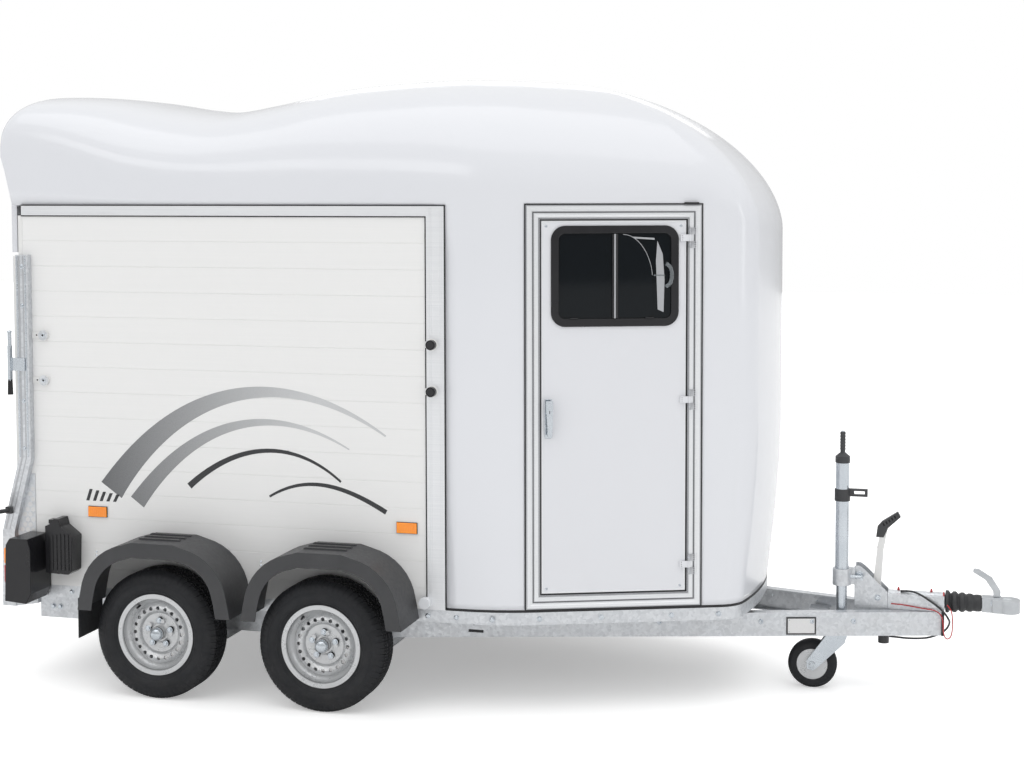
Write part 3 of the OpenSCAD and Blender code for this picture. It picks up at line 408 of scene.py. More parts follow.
class Graph:
    """A node tree with short ways to add nodes."""

    def __init__(self, tree: bpy.types.NodeTree) -> None:
        """Args:
            tree: The tree that nodes are added to.
        """
        self.tree = tree

    def node(self, kind: str, **values: object) -> bpy.types.Node:
        """Adds a node.

        Args:
            kind: The node's type name without its ShaderNode prefix.
            **values: Properties of the node.

        Returns:
            The node.
        """
        made = self.tree.nodes.new(kind if kind.startswith("Node") else "ShaderNode" + kind)
        for name, value in values.items():
            setattr(made, name, value)
        return made

    def link(self, source: bpy.types.NodeSocket, target: bpy.types.NodeSocket) -> None:
        """Links two sockets.

        Args:
            source: An output.
            target: An input.
        """
        self.tree.links.new(source, target)

    def feed(self, target: bpy.types.NodeSocket, value: object) -> None:
        """Links or sets an input.

        Args:
            target: The input.
            value: A socket to link, or a plain value.
        """
        if isinstance(value, bpy.types.NodeSocket):
            self.link(value, target)
        else:
            target.default_value = value

    def math(self, kind: str, *values: object, clamp: bool = False) -> bpy.types.NodeSocket:
        """Adds a math node.

        Args:
            kind: The operation.
            *values: Its inputs, sockets or numbers.
            clamp: Whether the result stays between 0 and 1.

        Returns:
            The result's socket.
        """
        made = self.node("Math", operation=kind, use_clamp=clamp)
        for i, value in enumerate(values):
            self.feed(made.inputs[i], value)
        return made.outputs[0]

    def noise(self, vector: object, scale: float, detail: float = 3.0, rough: float = 0.5) -> bpy.types.NodeSocket:
        """Adds a noise texture.

        Args:
            vector: The coordinates' socket.
            scale: How fine the noise is.
            detail: How many layers it has.
            rough: How strong the fine layers are.

        Returns:
            The noise value's socket.
        """
        made = self.node("TexNoise")
        self.link(vector, made.inputs["Vector"])
        made.inputs["Scale"].default_value = scale
        made.inputs["Detail"].default_value = detail
        made.inputs["Roughness"].default_value = rough
        return made.outputs["Fac"]

    def span(self, value: object, low: float, high: float, out_low: float, out_high: float) -> bpy.types.NodeSocket:
        """Maps a range onto another, held at both ends.

        Args:
            value: The socket to map.
            low: The start of its range.
            high: The end of its range.
            out_low: The result at the start.
            out_high: The result at the end.

        Returns:
            The result's socket.
        """
        made = self.node("MapRange")
        self.feed(made.inputs["Value"], value)
        for name, number in (("From Min", low), ("From Max", high), ("To Min", out_low), ("To Max", out_high)):
            made.inputs[name].default_value = number
        return made.outputs["Result"]

    def mix(self, fac: object, a: object, b: object) -> bpy.types.NodeSocket:
        """Mixes two colours.

        Args:
            fac: The share of the second.
            a: The first colour or its socket.
            b: The second colour or its socket.

        Returns:
            The mixed colour's socket.
        """
        made = self.node("Mix", data_type="RGBA")
        self.feed(made.inputs[0], fac)
        self.feed(made.inputs[6], a)
        self.feed(made.inputs[7], b)
        return made.outputs[2]

    def place(self, scale: Sequence[float] = (1.0, 1.0, 1.0)) -> bpy.types.NodeSocket:
        """Gives object coordinates, stretched.

        Args:
            scale: The factor along each axis.

        Returns:
            The coordinates' socket.
        """
        where = self.node("TexCoord").outputs["Object"]
        if tuple(scale) == (1.0, 1.0, 1.0):
            return where
        mapped = self.node("Mapping")
        self.link(where, mapped.inputs["Vector"])
        mapped.inputs["Scale"].default_value = scale
        return mapped.outputs["Vector"]


class Effect(Enum):
    """Shared surface effects, each a node group with the outputs Tone, Rough and Height from 0 to 1."""

    MOTTLE = "mottle"
    SPANGLE = "spangle"
    GRAIN = "grain"
    PEBBLE = "pebble"
    WAVE = "wave"
    FADE = "fade"


class Effects:
    """Makes each shared effect's node group once."""

    def __init__(self) -> None:
        """Starts with no group made."""
        self.made: dict[Effect, bpy.types.NodeTree] = {}

    def group(self, effect: Effect) -> bpy.types.NodeTree:
        """Gives an effect's node group.

        Args:
            effect: The effect.

        Returns:
            Its group, with inputs Scale and outputs Tone, Rough and Height.
        """
        if effect not in self.made:
            tree = bpy.data.node_groups.new(effect.value, "ShaderNodeTree")
            tree.interface.new_socket("Scale", in_out="INPUT", socket_type="NodeSocketFloat")
            for name in ("Tone", "Rough", "Height"):
                tree.interface.new_socket(name, in_out="OUTPUT", socket_type="NodeSocketFloat")
            g = Graph(tree)
            start = g.node("NodeGroupInput")
            end = g.node("NodeGroupOutput")
            scaled = g.node("VectorMath", operation="SCALE")
            g.link(g.place(), scaled.inputs[0])
            g.link(start.outputs[0], scaled.inputs["Scale"])
            tone, rough, height = getattr(self, effect.value)(g, scaled.outputs[0])
            g.link(tone, end.inputs[0])
            g.link(rough, end.inputs[1])
            g.link(height, end.inputs[2])
            self.made[effect] = tree
        return self.made[effect]

    def mottle(self, g: Graph, at: bpy.types.NodeSocket) -> tuple[bpy.types.NodeSocket, ...]:
        """Soft patches over a fine grain, as on moulded or painted parts."""
        broad = g.noise(at, 6.0, 4.0, 0.6)
        fine = g.noise(at, 160.0, 3.0, 0.6)
        tone = g.span(broad, 0.3, 0.7, 0.0, 1.0)
        rough = g.math("ADD", g.math("MULTIPLY", broad, 0.6), g.math("MULTIPLY", fine, 0.4))
        return tone, g.span(rough, 0.35, 0.65, 0.0, 1.0), fine

    def spangle(self, g: Graph, at: bpy.types.NodeSocket) -> tuple[bpy.types.NodeSocket, ...]:
        """The crystals of hot-dip zinc."""
        cells = g.node("TexVoronoi", feature="F1")
        warp = g.node("VectorMath", operation="ADD")
        bend = g.node("TexNoise")
        g.link(at, bend.inputs["Vector"])
        bend.inputs["Scale"].default_value = 30.0
        soft = g.node("VectorMath", operation="SCALE")
        g.link(bend.outputs["Color"], soft.inputs[0])
        soft.inputs["Scale"].default_value = 0.02
        g.link(at, warp.inputs[0])
        g.link(soft.outputs[0], warp.inputs[1])
        g.link(warp.outputs[0], cells.inputs["Vector"])
        cells.inputs["Scale"].default_value = 85.0
        split = g.node("SeparateColor")
        g.link(cells.outputs["Color"], split.inputs[0])
        cloud = g.noise(at, 7.0, 5.0, 0.6)
        tone = g.math("ADD", g.math("MULTIPLY", split.outputs[0], 0.4), g.math("MULTIPLY", cloud, 0.6))
        rough = g.math("ADD", g.math("MULTIPLY", split.outputs[1], 0.6), g.math("MULTIPLY", cloud, 0.4))
        return g.span(tone, 0.25, 0.8, 0.0, 1.0), rough, g.noise(at, 40.0, 4.0, 0.55)

    def grain(self, g: Graph, at: bpy.types.NodeSocket) -> tuple[bpy.types.NodeSocket, ...]:
        """Fine lines along X, as drawn aluminium has."""
        stretched = g.node("VectorMath", operation="MULTIPLY")
        g.link(at, stretched.inputs[0])
        stretched.inputs[1].default_value = (1.5, 420.0, 420.0)
        lines = g.noise(stretched.outputs[0], 1.0, 4.0, 0.65)
        cloud = g.noise(at, 4.0, 4.0, 0.55)
        return g.span(lines, 0.3, 0.7, 0.0, 1.0), g.math("MULTIPLY", g.math("ADD", lines, cloud), 0.5), lines

    def pebble(self, g: Graph, at: bpy.types.NodeSocket) -> tuple[bpy.types.NodeSocket, ...]:
        """The fine pebbled skin of moulded black plastic and rubber."""
        cells = g.node("TexVoronoi", feature="SMOOTH_F1")
        g.link(at, cells.inputs["Vector"])
        cells.inputs["Scale"].default_value = 520.0
        broad = g.noise(at, 9.0, 5.0, 0.6)
        return g.span(broad, 0.3, 0.7, 0.0, 1.0), g.noise(at, 60.0, 3.0), cells.outputs["Distance"]

    def wave(self, g: Graph, at: bpy.types.NodeSocket) -> tuple[bpy.types.NodeSocket, ...]:
        """The faint waves of a glossy moulded skin."""
        broad = g.noise(at, 1.6, 2.0, 0.45)
        peel = g.noise(at, 260.0, 2.0, 0.5)
        height = g.math("ADD", g.math("MULTIPLY", broad, 0.97), g.math("MULTIPLY", peel, 0.006))
        return broad, g.noise(at, 12.0, 4.0, 0.6), height

    def fade(self, g: Graph, at: bpy.types.NodeSocket) -> tuple[bpy.types.NodeSocket, ...]:
        """A tone that runs along the trailer over fine lines, as a printed gradient has."""
        parts = g.node("SeparateXYZ")
        g.link(at, parts.inputs[0])
        tone = g.span(parts.outputs["X"], -1.95, -0.75, 0.0, 1.0)
        fine = g.noise(at, 700.0, 2.0, 0.6)
        return g.math("MULTIPLY", tone, g.span(fine, 0.3, 0.7, 0.9, 1.0)), fine, fine


@dataclass(frozen=True)
class Finish:
    """One surface finish: its colours, gloss, painted glow and the shared effect that varies them."""

    name: str
    slot: str
    light: tuple[float, float, float]
    dark: tuple[float, float, float]
    rough: tuple[float, float]
    effect: Effect = Effect.MOTTLE
    scale: float = 1.0
    bump: float = 0.1
    reach: float = 0.0006
    metal: float = 0.0
    coat: float = 0.0
    alpha: float = 1.0
    clear: float = 0.0
    ior: float = 1.5
    grime: float = 0.0
    # Emission in the finish's own colour: a painted glow, not a lamp.
    glow: float = 0.0
    spec: float = 0.5

    def build(self, effects: Effects) -> bpy.types.Material:
        """Makes the material.

        Args:
            effects: The shared effects.

        Returns:
            The material.
        """
        made = bpy.data.materials.new(self.name)
        made.use_nodes = True
        tree = made.node_tree
        shader = tree.nodes["Principled BSDF"]
        g = Graph(tree)
        use = g.node("Group")
        use.node_tree = effects.group(self.effect)
        use.inputs[0].default_value = self.scale
        colour = g.mix(use.outputs["Tone"], (*self.dark, 1.0), (*self.light, 1.0))
        if self.grime > 0:
            dirt = effects_dirt(g)
            colour = g.mix(g.math("MULTIPLY", dirt, self.grime), colour, (0.2, 0.185, 0.165, 1.0))
        g.link(colour, shader.inputs["Base Color"])
        g.link(g.span(use.outputs["Rough"], 0.2, 0.8, self.rough[0], self.rough[1]), shader.inputs["Roughness"])
        shader.inputs["Metallic"].default_value = self.metal
        shader.inputs["Coat Weight"].default_value = self.coat
        shader.inputs["Coat Roughness"].default_value = 0.06
        shader.inputs["IOR"].default_value = self.ior
        shader.inputs["Specular IOR Level"].default_value = self.spec
        shader.inputs["Transmission Weight"].default_value = self.clear
        shader.inputs["Alpha"].default_value = self.alpha
        # Painted glow: the colour is also given off as light.
        if self.glow > 0:
            g.link(colour, shader.inputs["Emission Color"])
            shader.inputs["Emission Strength"].default_value = self.glow
        if self.bump > 0:
            bump = g.node("Bump")
            bump.inputs["Strength"].default_value = self.bump
            bump.inputs["Distance"].default_value = self.reach
            g.link(use.outputs["Height"], bump.inputs["Height"])
            g.link(bump.outputs["Normal"], shader.inputs["Normal"])
        return made


def effects_dirt(g: Graph) -> bpy.types.NodeSocket:
    """Gives a mask of road dust that thins out with height.

    Args:
        g: The material's graph.

    Returns:
        The mask's socket.
    """
    where = g.node("TexCoord").outputs["Object"]
    parts = g.node("SeparateXYZ")
    g.link(where, parts.inputs[0])
    low = g.span(parts.outputs["Z"], 0.05, 0.7, 1.0, 0.0)
    patch = g.span(g.noise(where, 14.0, 6.0, 0.65), 0.38, 0.7, 0.0, 1.0)
    return g.math("MULTIPLY", low, patch)


class Paint(Enum):
    """Every finish of the trailer."""

    GEL = Finish("gel_white", "grp_white", (0.72, 0.733, 0.765), (0.705, 0.718, 0.753), (0.16, 0.24), Effect.WAVE,
                 1.0, 0.25, 0.01, coat=0.35)
    PLANK = Finish("plank_white", "plank_white", (0.80, 0.80, 0.795), (0.78, 0.782, 0.778), (0.30, 0.42),
                   Effect.GRAIN, 1.0, 0.05, 0.0004, coat=0.15)
    RAIL = Finish("rail_aluminium", "rail_aluminium", (0.80, 0.81, 0.825), (0.72, 0.735, 0.755), (0.28, 0.42),
                  Effect.GRAIN, 1.0, 0.06, 0.0004, metal=0.45)
    # Darker aluminium of the door frames, also used for the rear posts' strips of painted shade and reflection.
    FRAME = Finish("frame_aluminium", "rail_aluminium", (0.50, 0.51, 0.53), (0.43, 0.44, 0.46), (0.28, 0.4),
                   Effect.GRAIN, 1.0, 0.06, 0.0004, metal=0.8)
    LEAF = Finish("leaf_white", "leaf_white", (0.71, 0.72, 0.75), (0.70, 0.71, 0.742), (0.28, 0.285), Effect.WAVE,
                  1.4, 0.03, 0.004, coat=0.25)
    COAT = Finish("coated_steel", "coated_steel", (0.76, 0.76, 0.75), (0.72, 0.72, 0.715), (0.3, 0.45),
                  Effect.MOTTLE, 1.0, 0.06, 0.0004)
    GALV = Finish("galvanised", "galvanised", (0.72, 0.74, 0.765), (0.56, 0.58, 0.605), (0.3, 0.52),
                  Effect.SPANGLE, 1.0, 0.12, 0.0006, metal=0.75, grime=0.2)
    ZINC = Finish("zinc", "zinc", (0.62, 0.66, 0.70), (0.50, 0.54, 0.58), (0.16, 0.3), Effect.MOTTLE, 1.0, 0.05,
                  0.0003, metal=0.95)
    CAST = Finish("cast_zinc", "zinc", (0.58, 0.60, 0.62), (0.45, 0.47, 0.49), (0.32, 0.48), Effect.PEBBLE, 1.0,
                  0.12, 0.0004, metal=0.85)
    WHEEL = Finish("wheel_silver", "wheel_silver", (0.60, 0.61, 0.62), (0.54, 0.55, 0.56), (0.26, 0.38),
                   Effect.MOTTLE, 2.0, 0.05, 0.0003, metal=0.55, coat=0.4, grime=0.1)
    TYRE = Finish("tyre_rubber", "tyre_rubber", (0.016, 0.017, 0.020), (0.010, 0.011, 0.013), (0.52, 0.7),
                  Effect.PEBBLE, 1.0, 0.1, 0.0003, grime=0.05, spec=0.3)
    RUBBER = Finish("black_rubber", "black_rubber", (0.030, 0.031, 0.033), (0.020, 0.021, 0.023), (0.45, 0.62),
                    Effect.PEBBLE, 1.0, 0.15, 0.0003)
    PLASTIC = Finish("black_plastic", "black_plastic", (0.042, 0.043, 0.046), (0.032, 0.033, 0.036), (0.36, 0.5),
                     Effect.PEBBLE, 1.0, 0.25, 0.0004, grime=0.06)
    GLOSS = Finish("gloss_plastic", "black_plastic", (0.014, 0.014, 0.016), (0.010, 0.010, 0.012), (0.16, 0.26),
                   Effect.MOTTLE, 1.0, 0.03, 0.0003, spec=0.4)
    # Black of seals, joints and rubber, also used for painted shade: rim gaps, door-frame grooves, screw recesses and a
    # keyhole.
    SEAL = Finish("seal_black", "black_rubber", (0.018, 0.018, 0.02), (0.012, 0.012, 0.014), (0.5, 0.65),
                  Effect.MOTTLE, 1.0, 0.05, 0.0003)
    FLOOR = Finish("floor_dark", "floor_dark", (0.075, 0.072, 0.07), (0.055, 0.053, 0.052), (0.55, 0.75),
                   Effect.PEBBLE, 0.3, 0.4, 0.001)
    PAD = Finish("pad_black", "pad_black", (0.035, 0.036, 0.04), (0.026, 0.027, 0.03), (0.4, 0.55), Effect.PEBBLE,
                 0.8, 0.2, 0.0004)
    PANE = Finish("window_glass", "window_glass", (0.004, 0.006, 0.008), (0.003, 0.005, 0.007), (0.03, 0.06),
                  Effect.WAVE, 1.0, 0.02, 0.001, alpha=0.98, spec=0.2)
    CLEAR = Finish("clear_glass", "window_glass", (0.30, 0.33, 0.35), (0.27, 0.30, 0.32), (0.03, 0.06),
                   Effect.WAVE, 1.0, 0.02, 0.001, coat=0.5, alpha=0.38)
    # Amber and red carry a painted glow, on the reflectors as well as on the lamp lenses.
    AMBER = Finish("amber", "amber", (0.95, 0.30, 0.012), (0.85, 0.24, 0.01), (0.12, 0.2), Effect.MOTTLE, 1.0, 0.03,
                   0.0003, coat=0.5, glow=0.12)
    RED = Finish("red_lens", "amber", (0.55, 0.02, 0.015), (0.42, 0.012, 0.01), (0.1, 0.18), Effect.MOTTLE, 1.0,
                 0.03, 0.0003, coat=0.5, glow=0.06)
    WHITE_LENS = Finish("white_lens", "lamp_white", (0.80, 0.82, 0.85), (0.74, 0.76, 0.79), (0.1, 0.2),
                        Effect.MOTTLE, 1.0, 0.03, 0.0003, coat=0.5)
    RED_COAT = Finish("red_cable", "red_cable", (0.50, 0.02, 0.025), (0.38, 0.015, 0.018), (0.25, 0.4),
                      Effect.MOTTLE, 1.0, 0.05, 0.0003, coat=0.2)
    INK_FADE = Finish("graphic_fade", "plank_white", (0.56, 0.57, 0.58), (0.045, 0.048, 0.053), (0.24, 0.34),
                      Effect.FADE, 1.0, 0.0, 0.0002, coat=0.2)
    INK = Finish("graphic_dark", "plank_white", (0.016, 0.018, 0.021), (0.012, 0.013, 0.016), (0.24, 0.34),
                 Effect.MOTTLE, 1.0, 0.02, 0.0002, coat=0.2)
    BARE = Finish("blank_plate", "rail_aluminium", (0.72, 0.72, 0.72), (0.66, 0.66, 0.66), (0.3, 0.4), Effect.GRAIN,
                  1.0, 0.05, 0.0003, metal=0.6)


@dataclass
class Workshop:
    """Builds pieces round the frame: finishes, new meshes and refined copies of the solids."""

    frame: dict
    effects: Effects = field(default_factory=Effects)
    ready: dict[str, bpy.types.Material] = field(default_factory=dict)

    def material(self, paint: Paint) -> bpy.types.Material:
        """Gives a finish's material.

        Args:
            paint: The finish.

        Returns:
            Its material.
        """
        if paint.name not in self.ready:
            self.ready[paint.name] = paint.value.build(self.effects)
        return self.ready[paint.name]

    def make(
        self,
        shape: Shape,
        name: str,
        paints: Paint | Sequence[Paint],
        body: str = "trailer",
        replaces: Sequence[str] = (),
        bevel: float = 0.0,
        sharp: float = 35.0,
        shell: float = 0.0,
        weld: bool = False,
    ) -> bpy.types.Object:
        """Makes a piece from a shape.

        Args:
            shape: The gathered faces.
            name: The piece's name.
            paints: Its finish, or one finish for each mark of the shape.
            body: The body that it rides on.
            replaces: The solids that it stands for.
            bevel: The width of its edges' rounding in millimetres.
            sharp: The angle from which an edge stays sharp, in degrees.
            shell: Thickness given to an open sheet in millimetres, inwards.
            weld: Whether points at one place become one.

        Returns:
            The piece.
        """
        every = [paints] if isinstance(paints, Paint) else list(paints)
        mesh = bpy.data.meshes.new(name)
        mesh.from_pydata([tuple(p) for p in shape.points], [], shape.faces)
        for paint in every:
            mesh.materials.append(self.material(paint))
        if len(every) > 1:
            mesh.polygons.foreach_set("material_index", shape.marks)
        edit = bmesh.new()
        edit.from_mesh(mesh)
        if weld:
            bmesh.ops.remove_doubles(edit, verts=edit.verts, dist=1e-5)
        else:
            bmesh.ops.recalc_face_normals(edit, faces=edit.faces)
        edit.to_mesh(mesh)
        edit.free()
        mesh.validate()
        return self.finish(mesh, name, body, replaces, bevel, sharp, shell)

    def finish(
        self,
        mesh: bpy.types.Mesh,
        name: str,
        body: str,
        replaces: Sequence[str],
        bevel: float,
        sharp: float,
        shell: float,
    ) -> bpy.types.Object:
        """Puts a mesh into the scene as a piece.

        Args:
            mesh: The mesh.
            name: The piece's name.
            body: The body that it rides on.
            replaces: The solids that it stands for.
            bevel: The width of its edges' rounding in millimetres.
            sharp: The angle from which an edge stays sharp, in degrees.
            shell: Thickness given to an open sheet in millimetres.

        Returns:
            The piece.
        """
        mesh.shade_smooth()
        mesh.set_sharp_from_angle(angle=math.radians(sharp))
        made = bpy.data.objects.new(name, mesh)
        bpy.context.scene.collection.objects.link(made)
        if shell > 0:
            wall = made.modifiers.new("shell", "SOLIDIFY")
            wall.thickness = shell / 1000.0
            wall.offset = -1.0
        if bevel > 0:
            edges = made.modifiers.new("edges", "BEVEL")
            edges.width = bevel / 1000.0
            edges.segments = 2
            edges.limit_method = "ANGLE"
            edges.angle_limit = math.radians(sharp)
            edges.harden_normals = True
        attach(made, body)
        if replaces:
            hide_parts(*replaces)
        log.info("%s: %d faces on %s", name, len(mesh.polygons), body)
        return made

    def refine(self, node: str, paint: Paint, bevel: float = 1.0, sharp: float = 35.0) -> bpy.types.Object:
        """Stands a smooth copy with rounded edges in for a solid.

        Args:
            node: The solid's name.
            paint: The finish.
            bevel: The width of the rounding in millimetres.
            sharp: The angle from which an edge is rounded, in degrees.

        Returns:
            The piece.
        """
        source = self.frame["nodes"][node]
        edit = bmesh.new()
        edit.from_mesh(source.data)
        bmesh.ops.remove_doubles(edit, verts=edit.verts, dist=2e-6)
        bmesh.ops.dissolve_limit(edit, angle_limit=math.radians(0.4), verts=edit.verts, edges=edit.edges)
        mesh = bpy.data.meshes.new(node + "_skin")
        edit.to_mesh(mesh)
        edit.free()
        mesh.materials.clear()
        mesh.materials.append(self.material(paint))
        mesh.polygons.foreach_set("material_index", [0] * len(mesh.polygons))
        return self.finish(mesh, node + "_skin", source["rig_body"], (node,), bevel, sharp, 0.0)

    def dress(self, node: str, paint: Paint) -> None:
        """Gives a solid its finish.

        Args:
            node: The solid's name.
            paint: The finish.
        """
        made = self.frame["nodes"][node]
        made.data.materials.clear()
        made.data.materials.append(self.material(paint))


@dataclass
class Kit:
    """One piece of several finishes, gathered in a shape."""

    shop: Workshop
    name: str
    body: str = "trailer"
    shape: Shape = field(default_factory=Shape)
    paints: list[Paint] = field(default_factory=list)

    def use(self, paint: Paint, frame: Matrix | None = None) -> Shape:
        """Switches the finish of what is added next.

        Args:
            paint: The finish.
            frame: The frame to switch to, or the one in use.

        Returns:
            The shape to add to.
        """
        if paint not in self.paints:
            self.paints.append(paint)
        self.shape.mark = self.paints.index(paint)
        if frame is not None:
            self.shape.frame = frame
        return self.shape

    def close(self, replaces: Sequence[str] = (), bevel: float = 0.0, sharp: float = 35.0) -> bpy.types.Object:
        """Makes the piece.

        Args:
            replaces: The solids that it stands for.
            bevel: The width of its edges' rounding in millimetres.
            sharp: The angle from which an edge stays sharp, in degrees.

        Returns:
            The piece.
        """
        return self.shop.make(self.shape, self.name, self.paints, self.body, replaces, bevel, sharp)


@dataclass(frozen=True)
class View:
    """The photograph's camera."""

    place: tuple[float, float, float] = (2.1334, -7.9622, 2.2701)
    turn: float = math.radians(15.44)
    pitch: float = math.radians(3.38)
    roll: float = math.radians(-0.11)
    lens: float = 60.915
    shift_y: float = -0.0903

    def build(self) -> None:
        """Adds the camera to the scene."""
        data = bpy.data.cameras.new("view")
        data.lens = self.lens
        data.sensor_width = 36.0
        data.shift_y = self.shift_y
        data.clip_end = 200.0
        camera = bpy.data.objects.new("view", data)
        bpy.context.scene.collection.objects.link(camera)
        level = math.cos(self.pitch)
        ahead = Vector((-math.sin(self.turn) * level, math.cos(self.turn) * level, -math.sin(self.pitch)))
        camera.rotation_mode = "QUATERNION"
        camera.rotation_quaternion = ahead.to_track_quat("-Z", "Y") @ Matrix.Rotation(self.roll, 4, "Z").to_quaternion()
        camera.location = self.place
        bpy.context.scene.camera = camera


@dataclass(frozen=True)
class Lamp:
    """One soft light: where it stands, what it points at, its size and power."""

    name: str
    place: tuple[float, float, float]
    target: tuple[float, float, float]
    size: tuple[float, float]
    power: float

    def build(self) -> None:
        """Adds the light to the scene."""
        data = bpy.data.lights.new(self.name, "AREA")
        data.shape = "RECTANGLE"
        data.size = self.size[0]
        data.size_y = self.size[1]
        data.energy = self.power
        made = bpy.data.objects.new(self.name, data)
        made.location = self.place
        made.rotation_euler = (Vector(self.target) - Vector(self.place)).to_track_quat("-Z", "Y").to_euler()
        bpy.context.scene.collection.objects.link(made)


@dataclass(frozen=True)
class Studio:
    """The pale floor, the soft lights and the white surroundings."""

    lamps: tuple[Lamp, ...] = (
        Lamp("front_soft", (7.5, -4.5, 3.2), (1.0, 0.0, 1.2), (1.6, 4.0), 30.0),
        Lamp("side_soft", (-3.5, -8.5, 5.2), (0.0, 0.0, 1.0), (5.0, 2.0), 45.0),
        Lamp("back_soft", (-2.0, 8.5, 5.5), (0.0, 0.0, 1.2), (6.0, 2.0), 45.0),
    )

    def build(self, shop: Workshop) -> None:
        """Adds the studio.

        Args:
            shop: The workshop; not used.
        """
        for lamp in self.lamps:
            lamp.build()
        data = bpy.data.lights.new("sky_soft", "SUN")
        data.energy = 0.85
        data.angle = math.radians(70.0)
        sun = bpy.data.objects.new("sky_soft", data)
        sun.rotation_euler = (math.radians(8.0), 0.0, 0.0)
        bpy.context.scene.collection.objects.link(sun)
        world = bpy.data.worlds.new("studio")
        bpy.context.scene.world = world
        world.use_nodes = True
        g = Graph(world.node_tree)
        back = world.node_tree.nodes["Background"]
        rays = g.node("LightPath")
        coord = g.node("TexCoord")
        parts = g.node("SeparateXYZ")
        g.link(coord.outputs["Generated"], parts.inputs[0])
        sky = g.span(parts.outputs["Z"], -0.3, 0.9, 0.62, 0.92)
        gloss = g.span(parts.outputs["Z"], -0.05, 0.55, 0.45, 0.95)
        lit = g.node("Mix", data_type="FLOAT")
        g.link(rays.outputs["Is Glossy Ray"], lit.inputs[0])
        g.link(sky, lit.inputs[2])
        g.link(gloss, lit.inputs[3])
        seen = g.node("Mix", data_type="FLOAT")
        g.link(rays.outputs["Is Camera Ray"], seen.inputs[0])
        g.link(lit.outputs[0], seen.inputs[2])
        seen.inputs[3].default_value = 1.0
        back.inputs["Color"].default_value = (1.0, 1.0, 1.0, 1.0)
        g.link(seen.outputs[0], back.inputs["Strength"])
        mesh = bpy.data.meshes.new("studio_floor")
        mesh.from_pydata([(-30, -30, 0), (30, -30, 0), (30, 30, 0), (-30, 30, 0)], [], [(0, 1, 2, 3)])
        made = bpy.data.objects.new("studio_floor", mesh)
        bpy.context.scene.collection.objects.link(made)
        made.location.z = -0.001
        paper = bpy.data.materials.new("studio_paper")
        paper.use_nodes = True
        inner = Graph(paper.node_tree)
        shader = paper.node_tree.nodes["Principled BSDF"]
        cloud = inner.noise(inner.place(), 2.0, 2.0)
        inner.link(
            inner.mix(cloud, (0.93, 0.93, 0.93, 1.0), (0.95, 0.95, 0.95, 1.0)), shader.inputs["Base Color"]
        )
        shader.inputs["Emission Color"].default_value = (1.0, 1.0, 1.0, 1.0)
        seen_floor = inner.node("LightPath").outputs["Is Camera Ray"]
        inner.link(inner.math("MULTIPLY", seen_floor, 0.34), shader.inputs["Emission Strength"])
        shader.inputs["Roughness"].default_value = 0.9
        shader.inputs["Specular IOR Level"].default_value = 0.1
        mesh.materials.append(paper)
        bpy.context.scene.view_settings.view_transform = "Standard"
        bpy.context.scene.view_settings.exposure = 0.0


@dataclass(frozen=True)
class Cables:
    """The two cables at the coupling, along the routes of their solids."""

    electric: tuple[tuple[float, float, float], ...] = (
        (2800, -20, 449.9), (2825, -22, 452), (2855, -30, 452), (2890, -48, 444), (2930, -58, 422),
        (2965, -60, 398), (2996, -57, 368), (3012, -42, 340), (3016, 0, 318), (3012, 40, 292), (2998, 66, 264),
        (2970, 84, 238), (2920, 92, 216), (2870, 96, 208), (2820, 97, 206), (2780, 96.5, 208), (2745.5, 96, 209),
    )
    breakaway: tuple[tuple[float, float, float], ...] = (
        (2760, -48, 396), (2800, -49, 395), (2850, -51, 390), (2900, -53, 384), (2945, -57, 380),
        (2968, -65, 372), (2984, -71, 354), (2990, -72, 320), (2992, -72, 285), (3000, -70, 262), (3012, -66, 256),
        (3024, -62, 268), (3030, -60, 300), (3030, -58, 345), (3024, -56, 380), (3006, -53, 407),
    )

    def build(self, shop: Workshop) -> None:
        """Adds both cables.

        Args:
            shop: The workshop.
        """
        for name, route, across, paint, give in (
            ("electric_cable", self.electric, 9.0, Paint.RUBBER, "medium"),
            ("breakaway_cable", self.breakaway, 5.0, Paint.RED_COAT, "limp"),
        ):
            points = smooth_route(route, 4)
            made = shop.make(Shape().tube(points, across / 2, 12), name + "_skin", paint, replaces=(name,))


def curve(table: Sequence[Sequence[float]], x: float, column: int) -> float:
    """Reads a smooth curve through a table's rows.

    Args:
        table: Rows that start with x.
        x: Where to read.
        column: The column to read.

    Returns:
        The value there.
    """
    i = 0
    while i < len(table) - 2 and x >= table[i + 1][0]:
        i += 1

    def slope(k: int) -> float:
        a, b = max(k - 1, 0), min(k + 1, len(table) - 1)
        return (table[b][column] - table[a][column]) / (table[b][0] - table[a][0])

    h = table[i + 1][0] - table[i][0]
    t = min(max((x - table[i][0]) / h, 0.0), 1.0)
    return (
        (2 * t ** 3 - 3 * t * t + 1) * table[i][column]
        + (t ** 3 - 2 * t * t + t) * h * slope(i)
        + (3 * t * t - 2 * t ** 3) * table[i + 1][column]
        + (t ** 3 - t * t) * h * slope(i + 1)
    )


def lerp(a: float, b: float, t: float) -> float:
    """Gives the value between two others at share t."""
    return a + (b - a) * t


